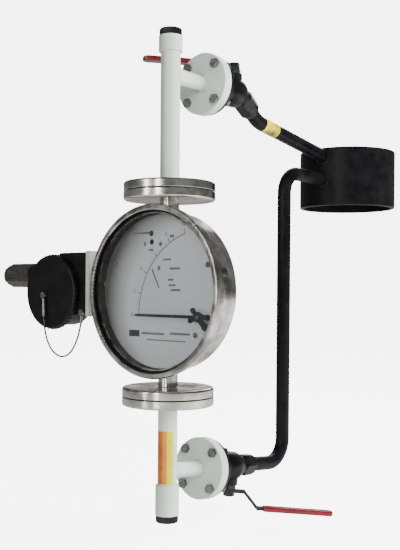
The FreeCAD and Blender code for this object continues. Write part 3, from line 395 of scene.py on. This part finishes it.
def finish_node(node, edge_mm=0.3):
    """A merged copy of a frame node with softened edges, in the node's own finish."""
    merge_mm, flat_degrees, edge_degrees = 0.002, 0.6, 38
    bm = bmesh.new()
    bm.from_mesh(frame["nodes"][node].data)
    bmesh.ops.remove_doubles(bm, verts=bm.verts, dist=merge_mm * MM)
    bmesh.ops.dissolve_limit(bm, angle_limit=math.radians(flat_degrees), verts=bm.verts, edges=bm.edges)
    piece = make_piece("finished_" + node, bm, SLOT_OF[node], BODY_OF[node], stands_for=(node,))
    if edge_mm:
        bevel = piece.modifiers.new("softened_edges", "BEVEL")
        bevel.width = edge_mm * MM
        bevel.segments = 2
        bevel.limit_method = "ANGLE"
        bevel.angle_limit = math.radians(edge_degrees)
        bevel.miter_outer = "MITER_ARC"
        normals = piece.modifiers.new("even_normals", "WEIGHTED_NORMAL")
        normals.keep_sharp = True
    return piece


def finish_nodes(names, edge_mm=0.3):
    """Finishes several frame nodes alike."""
    for node in names:
        finish_node(node, edge_mm)


def line_inside(piece, finish, axis, centre, reach_mm):
    """Gives the faces of a bore, which look towards its axis, a finish of their own."""
    towards_axis = -0.6
    piece.data.materials.append(finish_of(finish))
    for face in piece.data.polygons:
        out = face.center - centre
        out -= axis * out.dot(axis)
        looks_in = face.normal.dot(out.normalized()) < towards_axis
        if looks_in and out.length < reach_mm * MM:
            face.material_index = 1


def spun(bm, outline, centre, axis, steps, angle=FULL_TURN, start=None):
    """Spins a closed outline of (radius, along) pairs in millimetres round an axis."""
    side = (start or axis.orthogonal()).normalized()
    verts = [bm.verts.new(centre + side * (r * MM) + axis * (a * MM)) for r, a in outline]
    edges = [bm.edges.new(pair) for pair in zip(verts, verts[1:] + verts[:1])]
    full = abs(angle - FULL_TURN) < 1e-6
    bmesh.ops.spin(bm, geom=verts + edges, cent=centre, axis=axis, dvec=(0, 0, 0), angle=angle,
                   steps=steps, use_merge=full, use_normal_flip=False, use_duplicate=False)
    bmesh.ops.recalc_face_normals(bm, faces=bm.faces)


def bead_outline(radius, size):
    """The round section of a weld bead."""
    count = 8
    turns = [FULL_TURN * k / count for k in range(count)]
    return [(radius + size * math.cos(turn), size * math.sin(turn)) for turn in turns]


def weld_bead(name, centre, axis, radius, size, finish, slot, saddle=None):
    """A rippled weld round a joint; a saddle bends it onto a larger round pipe."""
    steps, ripple_mm = 120, 2.4
    ripple_share, uneven_share, uneven_waves, uneven_from = 0.16, 0.08, 7, 1.3
    bm = bmesh.new()
    spun(bm, bead_outline(radius, size), centre, axis, steps)
    side = axis.orthogonal().normalized()
    other = axis.cross(side)
    ripples = round(FULL_TURN * radius / ripple_mm)
    for vert in bm.verts:
        offset = vert.co - centre
        radial = offset - axis * offset.dot(axis)
        turn = math.atan2(radial.dot(other), radial.dot(side))
        core = radial.normalized() * radius * MM
        swell = (1 + ripple_share * math.sin(turn * ripples)
                 + uneven_share * math.sin(turn * uneven_waves + uneven_from))
        vert.co = centre + core + (offset - core) * swell
        if saddle:
            across, carrier = saddle
            reach = (vert.co - centre).dot(across) / MM
            fall = carrier - math.sqrt(max(carrier ** 2 - reach ** 2, 0.0))
            vert.co -= axis * fall * MM
    return make_piece(name, bm, slot, "base", finish)


def flat_bar(bm, middle, along, across, length, width, thick):
    """A thin printed bar on the dial plate, as an eight-cornered block."""
    made = bmesh.ops.create_cube(bm, size=1.0)
    up = along.cross(across)
    turn = Matrix((along, across, up)).transposed().to_4x4()
    size = Matrix.Diagonal((length, width, thick, 1.0))
    bmesh.ops.transform(bm, matrix=Matrix.Translation(middle) @ turn @ size, verts=made["verts"])


def printed_figure(name, words, middle, size_mm):
    """A printed figure that reads from the front, as a thin mesh."""
    curve = bpy.data.curves.new(name, "FONT")
    curve.body = words
    curve.size = size_mm * MM
    curve.align_x, curve.align_y = "CENTER", "CENTER"
    curve.extrude = PRINT_HALF_MM * MM
    holder = bpy.data.objects.new(name + "_outline", curve)
    bpy.context.scene.collection.objects.link(holder)
    bpy.context.view_layer.update()
    graph = bpy.context.evaluated_depsgraph_get()
    mesh = bpy.data.meshes.new_from_object(holder.evaluated_get(graph))
    bpy.data.objects.remove(holder)
    bm = bmesh.new()
    bm.from_mesh(mesh)
    bpy.data.meshes.remove(mesh)
    stand = Matrix.Translation(middle) @ Matrix.Rotation(math.radians(90), 4, "X")
    bmesh.ops.transform(bm, matrix=stand, verts=bm.verts)
    make_piece(name, bm, "dial_paint", "base", "print_grey")


class OBJECT_OT_rotameter_stage(Operator):
    """Camera at the photograph's angle, soft studio light and a pale floor"""
    bl_idname = "object.rotameter_stage"
    bl_label = "Stage"

    # The camera was fitted to the photograph: angles in radians, places in millimetres from the dial's centre
    camera_turn = 0.6991
    camera_roll = 0.0082
    camera_place = (625.1, -690.6, 6.5)
    frame_height_px = 550
    shift_px = 13
    lamp_aim = (0, 30, 0)
    floor_radius_m = 14.0
    # Lamps: name, place in millimetres, size in metres, watts, and the kind of light that they serve
    lamps = (
        ("key", (1265, 670, 520), (1.3, 1.3), 58, "diffuse"),
        ("front", (1270, -989, 640), (0.9, 0.9), 19, "diffuse"),
        ("left_strip", (-412, -1442, 250), (0.16, 1.3), 8, "glossy"),
        ("middle_strip", (364, -1455, 250), (0.16, 1.3), 11, "glossy"),
        ("back", (-900, 1500, 1100), (1.2, 1.2), 20, "both"),
    )

    def execute(self, context):
        sizes = context.scene.rotameter_stage
        self.add_camera(sizes)
        self.add_floor(sizes)
        self.add_lights(sizes)
        return {"FINISHED"}

    def add_camera(self, sizes):
        """A level camera beside the dial, shifted for the photograph's crop."""
        turn, roll = self.camera_turn, self.camera_roll
        sight = Vector((-math.sin(turn), math.cos(turn), 0))
        level = Vector((math.cos(turn), math.sin(turn), 0))
        right = level * math.cos(roll) + Z * math.sin(roll)
        up = Z * math.cos(roll) - level * math.sin(roll)
        spot = at(*self.camera_place)
        data = bpy.data.cameras.new("camera")
        data.lens = sizes.focal_px / self.frame_height_px * data.sensor_width
        data.shift_y = self.shift_px / self.frame_height_px
        data.clip_start = 0.01
        camera = bpy.data.objects.new("camera", data)
        bpy.context.scene.collection.objects.link(camera)
        camera.matrix_world = Matrix.Translation(spot) @ Matrix((right, up, -sight)).transposed().to_4x4()
        bpy.context.scene.camera = camera

    def add_floor(self, sizes):
        """A round white floor that the camera sees as bright as the backdrop."""
        cloud_mm = 400
        material, tree, place = start_material("matt_white_floor")
        cloud = add_node(tree, "ShaderNodeTexNoise", {"Scale": per_metre(cloud_mm)}, {"Vector": place})
        colour = two_tone(tree, cloud.outputs["Fac"], "#F1F1F1", "#F4F4F4")
        seen = add_node(tree, "ShaderNodeLightPath").outputs["Is Camera Ray"]
        glow = add_node(tree, "ShaderNodeMapRange", {"To Min": 0.0, "To Max": sizes.backdrop},
                        {"Value": seen})
        shader = add_node(tree, "ShaderNodeBsdfPrincipled",
                          {"Roughness": 0.9, "Emission Color": linear("#FFFFFF")},
                          {"Base Color": colour, "Emission Strength": glow.outputs["Result"]})
        end_material(tree, shader)
        bm = bmesh.new()
        bmesh.ops.create_circle(bm, cap_ends=True, segments=96, radius=self.floor_radius_m)
        level = CAD_BOX[0].z - sizes.floor_gap
        bmesh.ops.translate(bm, vec=(0, 0, level), verts=bm.verts)
        mesh = bpy.data.meshes.new("floor")
        bm.to_mesh(mesh)
        bm.free()
        mesh.materials.append(material)
        floor = bpy.data.objects.new("floor", mesh)
        bpy.context.scene.collection.objects.link(floor)

    def add_lights(self, sizes):
        """Faint light from all sides, a bright backdrop for the camera alone, and the lamps."""
        world = bpy.data.worlds.new("studio")
        bpy.context.scene.world = world
        world.use_nodes = True
        tree = world.node_tree
        seen = add_node(tree, "ShaderNodeLightPath").outputs["Is Camera Ray"]
        level = add_node(tree, "ShaderNodeMapRange", {"To Min": sizes.ambient, "To Max": sizes.backdrop},
                         {"Value": seen})
        tree.nodes["Background"].inputs["Color"].default_value = linear("#FFFFFF")
        tree.links.new(level.outputs["Result"], tree.nodes["Background"].inputs["Strength"])
        for name, place, size, power, serves in self.lamps:
            self.add_area(name, at(*place), size, power, serves)

    def add_area(self, name, spot, size, power, serves):
        """A soft lamp aimed at the dial, which fills with diffuse light, is mirrored in gloss, or both."""
        data = bpy.data.lights.new(name, "AREA")
        data.shape = "RECTANGLE"
        data.size, data.size_y = size
        data.energy = power
        lamp = bpy.data.objects.new(name, data)
        bpy.context.scene.collection.objects.link(lamp)
        lamp.visible_camera = False
        lamp.visible_glossy = serves != "diffuse"
        lamp.visible_diffuse = serves != "glossy"
        lamp.location = spot
        lamp.rotation_euler = (at(*self.lamp_aim) - spot).to_track_quat("-Z", "Y").to_euler()


class OBJECT_OT_rotameter_lanyard(Operator):
    """The wire that keeps the box cover captive, with its two crimps"""
    bl_idname = "object.rotameter_lanyard"
    bl_label = "Lanyard wire"

    # Millimetres: the box's axis from the dial's centre, and the wire's route from that axis
    box_axis = (-166.0, 0.0, 0.5)
    route = [(-7.3, -31.0, -7.5), (-6.7, -31.0, -19.5), (-5.8, -31.1, -33.0),
             (-4.2, -31.0, -47.0), (1.0, -30.4, -61.3), (10.4, -29.4, -72.4),
             (23.3, -28.0, -76.8), (35.0, -26.5, -72.2), (43.0, -25.0, -61.0),
             (47.6, -23.6, -48.0), (49.8, -22.5, -35.5), (50.4, -22.0, -26.9)]
    wire_mm = 2.2
    length_mm = 143.0
    long_crimp_mm = 22.0
    short_crimp_mm = 9.0

    def places(self):
        """The route's points in the part's frame."""
        x, y, z = self.box_axis
        return [at(x + point[0], y + point[1], z + point[2]) for point in self.route]

    def crimp(self, name, start, end, length_mm):
        """A pressed ferrule round the wire's end, with a dent near its start."""
        play, wall, dent = 0.02, 1.0, 0.25
        bm = bmesh.new()
        axis = (end - start).normalized()
        bore, wide = self.wire_mm / 2 + play, self.wire_mm / 2 + wall
        neck = wide - dent
        outline = [(bore, 0.3), (neck, 0.3), (wide, 0.8), (wide, 3.0), (neck, 3.6), (neck, 5.0), (wide, 5.6),
                   (wide, length_mm - 0.8), (neck, length_mm), (bore, length_mm)]
        spun(bm, outline, start, axis, 32)
        return make_piece(name, bm, "wire_steel", "base", "ferrule_alloy")

    def execute(self, context):
        curve = bpy.data.curves.new("lanyard", "CURVE")
        curve.dimensions = "3D"
        curve.bevel_depth = self.wire_mm / 2 * MM
        curve.bevel_resolution = 4
        curve.use_fill_caps = True
        spline = curve.splines.new("NURBS")
        spline.points.add(len(self.route) - 1)
        places = self.places()
        for point, place in zip(spline.points, places):
            point.co = (*place, 1.0)
        spline.order_u = 3
        spline.use_endpoint_u = True
        spline.resolution_u = 12
        curve.materials.append(finish_of("wire_steel"))
        wire = bpy.data.objects.new("lanyard", curve)
        bpy.context.scene.collection.objects.link(wire)
        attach(wire, "base")
        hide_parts("lanyard_wire")
        crimps = [self.crimp("lanyard_long_crimp", places[0], places[1], self.long_crimp_mm),
                  self.crimp("lanyard_short_crimp", places[-1], places[-2], self.short_crimp_mm)]
        return {"FINISHED"}


class OBJECT_OT_rotameter_line(Operator):
    """Painted line pipe, end plugs, flange discs and their welds"""
    bl_idname = "object.rotameter_line"
    bl_label = "Line pipe and flanges"

    # Millimetres: branch levels from the dial's centre, weld places along a branch, and bead sizes
    upper_level, lower_level = 239.0, -193.0
    stub_weld_at, branch_weld_at = 10.9, 52.4
    line_bead_r, stub_bead_r, branch_bead_r = 11.3, 9.2, 9.4
    line_saddle_r = 10.65
    bead_mm, branch_bead_mm = 1.5, 1.4
    branch_droop = math.radians(6)

    def execute(self, context):
        finish_nodes(["upper_spool", "lower_spool"], 0.4)
        finish_nodes(["end_plugs"], 0.4)
        finish_nodes(["upper_line_flange", "lower_line_flange", "metering_tube"], 0.5)
        finish_nodes(["line_gaskets", "flange_screws"], 0.0)
        self.weld_line()
        self.weld_stubs()
        return {"FINISHED"}

    def weld_line(self):
        """Beads where the painted pipe meets the flange discs."""
        for side, node in (("upper", "upper_line_flange"), ("lower", "lower_line_flange")):
            low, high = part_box(node)
            level = high.z if side == "upper" else low.z
            weld_bead(side + "_flange_weld", Vector((0, DIAL_CENTRE.y, level)), Z, self.line_bead_r,
                      self.bead_mm, "weld_paint", "light_paint")

    def weld_stubs(self):
        """Beads where each branch leaves the line pipe and where it meets its side flange."""
        lower_axis = Vector((0, math.cos(self.branch_droop), -math.sin(self.branch_droop)))
        for side, level, axis in (("upper", self.upper_level, Y), ("lower", self.lower_level, lower_axis)):
            start = at(0, 0, level)
            weld_bead(side + "_stub_weld", start + axis * self.stub_weld_at * MM, axis, self.stub_bead_r,
                      self.bead_mm, "weld_paint", "light_paint", (X, self.line_saddle_r))
            weld_bead(side + "_branch_weld", start + axis * self.branch_weld_at * MM, axis,
                      self.branch_bead_r, self.branch_bead_mm, "weld_paint", "light_paint")


class OBJECT_OT_rotameter_valves(Operator):
    """Branch flanges' bolts, ball valves, levers and grips"""
    bl_idname = "object.rotameter_valves"
    bl_label = "Valves and levers"

    def execute(self, context):
        finish_nodes(["side_flange_bolts", "side_flange_nuts", "stem_gland_nuts"], 0.3)
        finish_nodes(["upper_valve_body", "lower_valve_body"], 0.6)
        finish_nodes(["side_gaskets", "valve_seats"], 0.0)
        for side in ("upper_", "lower_"):
            finish_nodes([side + "lever"], 0.5)
            finish_nodes([side + "lever_nut", side + "valve_stem", side + "valve_ball"], 0.3)
            finish_nodes([side + "lever_grip"], 0.8)
        return {"FINISHED"}


class OBJECT_OT_rotameter_loop(Operator):
    """Black bypass pipes, carrier ring and orifice plate"""
    bl_idname = "object.rotameter_loop"
    bl_label = "Loop and carrier ring"

    # Millimetres: tap levels from the dial's centre, and the beads round the taps
    tap_levels = {"upper": 188.0, "lower": 157.0}
    tap_bead_r, tap_bead_mm = 9.2, 1.6

    def execute(self, context):
        finish_nodes(["upper_loop_pipe", "lower_loop_pipe"], 0.0)
        finish_nodes(["carrier_ring"], 0.6)
        finish_nodes(["orifice_plate"], 0.3)
        ring_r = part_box("carrier_ring")[1].x
        for side, level in self.tap_levels.items():
            tap = Vector((0, -ring_r, at(0, 0, level).z))
            weld_bead(side + "_tap_weld", tap, -Y, self.tap_bead_r, self.tap_bead_mm, "weld_black",
                      "black_pipe", (X, ring_r / MM))
        return {"FINISHED"}


class OBJECT_OT_rotameter_case(Operator):
    """Dial case, bezel, glass and the parts of the movement"""
    bl_idname = "object.rotameter_case"
    bl_label = "Dial case and movement"

    # Millimetres: how far out the case's and the bezel's inner walls take their dark finish, which is painted
    # shade in the recess round the dial
    case_bore_reach = 83.9
    bezel_bore_reach = 87.4

    def execute(self, context):
        case = finish_node("dial_case", 0.5)
        # painted shade: the case's bore takes a brown-black finish where the recess lies in shade
        line_inside(case, "case_inside", Y, CASE_CENTRE, self.case_bore_reach)
        bezel = finish_node("bezel_ring", 0.4)
        # painted shade: the bezel's bore takes the black rubber finish where the groove lies in shade
        line_inside(bezel, "seal_rubber", Y, CASE_CENTRE, self.bezel_bore_reach)
        finish_nodes(["case_plug"], 0.5)
        finish_nodes(["dial_glass", "glass_gasket", "dial_plate"], 0.0)
        finish_nodes(["dial_screws", "dial_pillars", "bearing_bracket", "shaft_bearings",
                      "alarm_switch"], 0.15)
        finish_nodes(["pointer_shaft", "follower_arm", "follower_magnet"], 0.15)
        finish_nodes(["pointer", "pointer_balance"], 0.2)
        finish_nodes(["float", "float_magnet", "float_guides", "metering_orifice"], 0.2)
        return {"FINISHED"}


class OBJECT_OT_rotameter_dial_print(Operator):
    """Scale, figures and plain marks printed on the dial plate"""
    bl_idname = "object.rotameter_dial_print"
    bl_label = "Dial print"

    # Millimetres, except for the counts
    print_gap = 0.04
    minor_ticks = 4
    long_tick, short_tick = (5.5, 1.0), (3.0, 0.5)
    figure_gap, figure_size = 10.5, 6.5
    # Plain marks in place of print: x and z from the dial's centre, length, width, slope in degrees
    block = [(-35.6, -43.8, 16.0, 7.0, 0)]
    lines = [
        (-25.0, 66.0, 26.0, 2.2, 0), (-7.8, -43.2, 34.0, 2.4, 0), (31.0, -42.2, 28.0, 2.4, 0),
        (11.0, -50.0, 56.0, 1.4, 0), (-4.6, 16.5, 23.0, 2.0, -63), (12.0, 36.6, 12.0, 2.0, 0),
        (23.5, 27.0, 15.0, 2.4, 0), (17.5, 15.0, 8.0, 2.2, 0), (20.0, 9.2, 10.0, 2.0, 0),
        (24.5, 4.0, 14.0, 2.2, 0), (19.0, 61.5, 6.0, 3.0, 0), (2.5, 53.5, 4.5, 4.5, 35),
        (-11.5, 47.3, 8.0, 1.8, 0), (-20.5, 54.0, 3.0, 4.5, 0), (0.5, 27.5, 4.0, 4.5, 0),
    ]
    # Dots: x and z from the dial's centre, radius
    dots = [(-11.0, 65.2, 3.0), (-10.3, 56.0, 3.0)]

    def execute(self, context):
        sizes = context.scene.rotameter_dial
        self.pivot = joint_point("pointer_turn")
        self.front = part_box("dial_plate")[0].y - self.print_gap * MM
        self.add_scale(sizes)
        self.add_figures(sizes)
        self.add_bars("dial_block", "print_black", self.block)
        self.add_bars("dial_lines", "print_grey", self.lines)
        self.add_dots()
        return {"FINISHED"}

    def at_reach(self, reach_mm, turn):
        """A point on the plate, at a reach and an angle above nine o'clock from the pivot."""
        return Vector((self.pivot.x - reach_mm * MM * math.cos(turn), self.front,
                       self.pivot.z + reach_mm * MM * math.sin(turn)))

    def at_mark(self, x, z):
        """A point on the plate in millimetres from the dial's centre."""
        return Vector((at(x, 0, 0).x, self.front, at(0, 0, z).z))

    def film_outline(self, inner, outer):
        """The section of a printed ring or arc between two radii."""
        return [(inner, -PRINT_HALF_MM), (outer, -PRINT_HALF_MM), (outer, PRINT_HALF_MM),
                (inner, PRINT_HALF_MM)]

    def add_scale(self, sizes):
        """The scale's arc with its long and short ticks."""
        bm = bmesh.new()
        radius = sizes.scale_radius / MM
        half = sizes.line_width / MM / 2
        centre = Vector((self.pivot.x, self.front, self.pivot.z))
        spun(bm, self.film_outline(radius - half, radius + half), centre, Y, 60, sizes.sweep, -X)
        minor = sizes.divisions * self.minor_ticks
        for k in range(minor + 1):
            turn = sizes.sweep * k / minor
            length, width = self.short_tick if k % self.minor_ticks else self.long_tick
            out = Vector((-math.cos(turn), 0, math.sin(turn)))
            middle = self.at_reach(radius + length / 2, turn)
            flat_bar(bm, middle, out, out.cross(Y), length * MM, width * MM, 2 * PRINT_HALF_MM * MM)
        make_piece("dial_scale", bm, "dial_paint", "base", "print_grey")

    def add_figures(self, sizes):
        """The even figures along the scale."""
        reach = sizes.scale_radius / MM + self.figure_gap
        for k in range(sizes.divisions + 1):
            turn = sizes.sweep * k / sizes.divisions
            printed_figure("dial_figure_%02d" % (2 * k), str(2 * k), self.at_reach(reach, turn),
                           self.figure_size)

    def add_bars(self, name, finish, bars):
        """Plain bars on the plate as one piece."""
        bm = bmesh.new()
        for x, z, length, width, slope in bars:
            along = Vector((math.cos(math.radians(slope)), 0, math.sin(math.radians(slope))))
            flat_bar(bm, self.at_mark(x, z), along, along.cross(Y), length * MM, width * MM,
                     2 * PRINT_HALF_MM * MM)
        make_piece(name, bm, "dial_paint", "base", finish)

    def add_dots(self):
        """Round dots with a pin hole at the middle, so that the spin has no pole."""
        hole = 0.01
        bm = bmesh.new()
        for x, z, radius in self.dots:
            spun(bm, self.film_outline(hole, radius), self.at_mark(x, z), Y, 32)
        make_piece("dial_dots", bm, "dial_paint", "base", "print_black")


class OBJECT_OT_rotameter_box(Operator):
    """Terminal box, cover, gland and lug screws"""
    bl_idname = "object.rotameter_box"
    bl_label = "Terminal box"

    # Millimetres, except for the count: half-sunk ribs and where they run behind the cover's front
    rib_count = 48
    rib_r, rib_sunk = 1.2, 0.3
    rib_from, rib_to = 3.2, 7.8

    def execute(self, context):
        finish_nodes(["box_adaptor"], 0.4)
        finish_nodes(["terminal_box", "box_cover"], 0.6)
        finish_nodes(["gland_body", "gland_nut"], 0.4)
        finish_nodes(["lanyard_screws"], 0.2)
        finish_nodes(["gland_seal", "cover_seal", "terminal_block"], 0.2)
        self.rib_cover()
        return {"FINISHED"}

    def rib_cover(self):
        """Cast grip ribs round the cover's rim."""
        low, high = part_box("box_cover")
        radius = (high.x - low.x) / 2
        centre = Vector(((low.x + high.x) / 2, 0, (low.z + high.z) / 2))
        front, back = low.y + self.rib_from * MM, low.y + self.rib_to * MM
        lay_along_y = Matrix.Rotation(math.radians(90), 4, "X")
        bm = bmesh.new()
        for k in range(self.rib_count):
            turn = FULL_TURN * k / self.rib_count
            out = Vector((math.cos(turn), 0, math.sin(turn)))
            foot = centre + out * (radius - self.rib_sunk * MM) + Y * front
            made = bmesh.ops.create_cone(bm, cap_ends=True, segments=8, radius1=self.rib_r * MM,
                                         radius2=self.rib_r * MM, depth=back - front)
            stand = Matrix.Translation(foot + Y * (back - front) / 2) @ lay_along_y
            bmesh.ops.transform(bm, matrix=stand, verts=made["verts"])
        make_piece("cover_grip_ribs", bm, "box_black")


class OBJECT_OT_rotameter_labels(Operator):
    """Plain film labels wrapped round the pipes"""
    bl_idname = "object.rotameter_labels"
    bl_label = "Pipe labels"

    # Millimetres and degrees. Strips: name, finish, bearings round the pipe, levels from the dial's centre
    film_mm = 0.1
    film_gap = 0.05
    line_label_r = 10.8
    strips = (
        ("orange", "label_orange", (232, 256), (-206, -149)),
        ("amber", "label_amber", (256, 282), (-206, -149)),
        ("orange_edge", "label_orange", (282, 308), (-206, -149)),
        ("yellow", "label_yellow", (308, 350), (-206, -149)),
        ("white", "label_white", (350, 388), (-214, -164)),
    )
    kink_place, tap_place = (0, 160.0, 212.1), (0, 315.0, 188.0)
    band = (10.0, 38.0)

    def execute(self, context):
        for strip in self.strips:
            self.label_line(*strip)
        self.label_loop()
        return {"FINISHED"}

    def label_line(self, tint, finish, turns, levels):
        """A strip of the label on the lower line pipe, between two bearings and two levels."""
        side = Matrix.Rotation(math.radians(turns[0]), 3, Z) @ X
        self.wrap("lower_pipe_label_" + tint, finish, "light_paint", DIAL_CENTRE, Z, side,
                  self.line_label_r, math.radians(turns[1] - turns[0]), levels)

    def label_loop(self):
        """A worn band round the upper loop pipe, just past the kink where it turns to the ring."""
        low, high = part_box("upper_loop_pipe")
        kink, tap = at(*self.kink_place), at(*self.tap_place)
        self.wrap("upper_loop_label", "label_olive", "black_pipe", kink, (tap - kink).normalized(), X,
                  (high.x - low.x) / 2 / MM + self.film_gap, FULL_TURN, self.band)

    def wrap(self, name, finish, slot, centre, axis, side, radius, turn, levels):
        """A film round a pipe, over a turn from one side and between two levels along its axis."""
        bm = bmesh.new()
        outer = radius + self.film_mm
        outline = [(radius, levels[0]), (outer, levels[0]), (outer, levels[1]), (radius, levels[1])]
        spun(bm, outline, centre, axis, 32, turn, side)
        make_piece(name, bm, slot, "base", finish)


class VIEW3D_PT_rotameter(Panel):
    """Lists the rotameter's operators"""
    bl_label = "Rotameter"
    bl_idname = "VIEW3D_PT_rotameter"
    bl_space_type = "VIEW_3D"
    bl_region_type = "UI"
    bl_category = "Rotameter"

    def draw(self, context):
        for operator in OPERATORS:
            self.layout.operator(operator.bl_idname)
        scene = context.scene
        for group, owner in ((RotameterColours, scene.rotameter_colours), (DialSizes, scene.rotameter_dial),
                             (StageSizes, scene.rotameter_stage)):
            for name in group.__annotations__:
                self.layout.prop(owner, name)


GROUPS = (RotameterColours, DialSizes, StageSizes)
OPERATORS = (OBJECT_OT_rotameter_stage, OBJECT_OT_rotameter_lanyard, OBJECT_OT_rotameter_line,
             OBJECT_OT_rotameter_valves, OBJECT_OT_rotameter_loop, OBJECT_OT_rotameter_case,
             OBJECT_OT_rotameter_dial_print, OBJECT_OT_rotameter_box, OBJECT_OT_rotameter_labels)


def register():
    """Adds the classes and the scene's settings."""
    for cls in (*GROUPS, *OPERATORS, VIEW3D_PT_rotameter):
        bpy.utils.register_class(cls)
    bpy.types.Scene.rotameter_colours = PointerProperty(type=RotameterColours)
    bpy.types.Scene.rotameter_dial = PointerProperty(type=DialSizes)
    bpy.types.Scene.rotameter_stage = PointerProperty(type=StageSizes)


def unregister():
    """Takes the settings and the classes away again."""
    del bpy.types.Scene.rotameter_colours
    del bpy.types.Scene.rotameter_dial
    del bpy.types.Scene.rotameter_stage
    for cls in reversed((*GROUPS, *OPERATORS, VIEW3D_PT_rotameter)):
        bpy.utils.unregister_class(cls)


def main():
    """Calls every operator in order."""
    register()
    for operator in OPERATORS:
        group, name = operator.bl_idname.split(".")
        getattr(getattr(bpy.ops, group), name)()


if __name__ == "__main__":
    main()
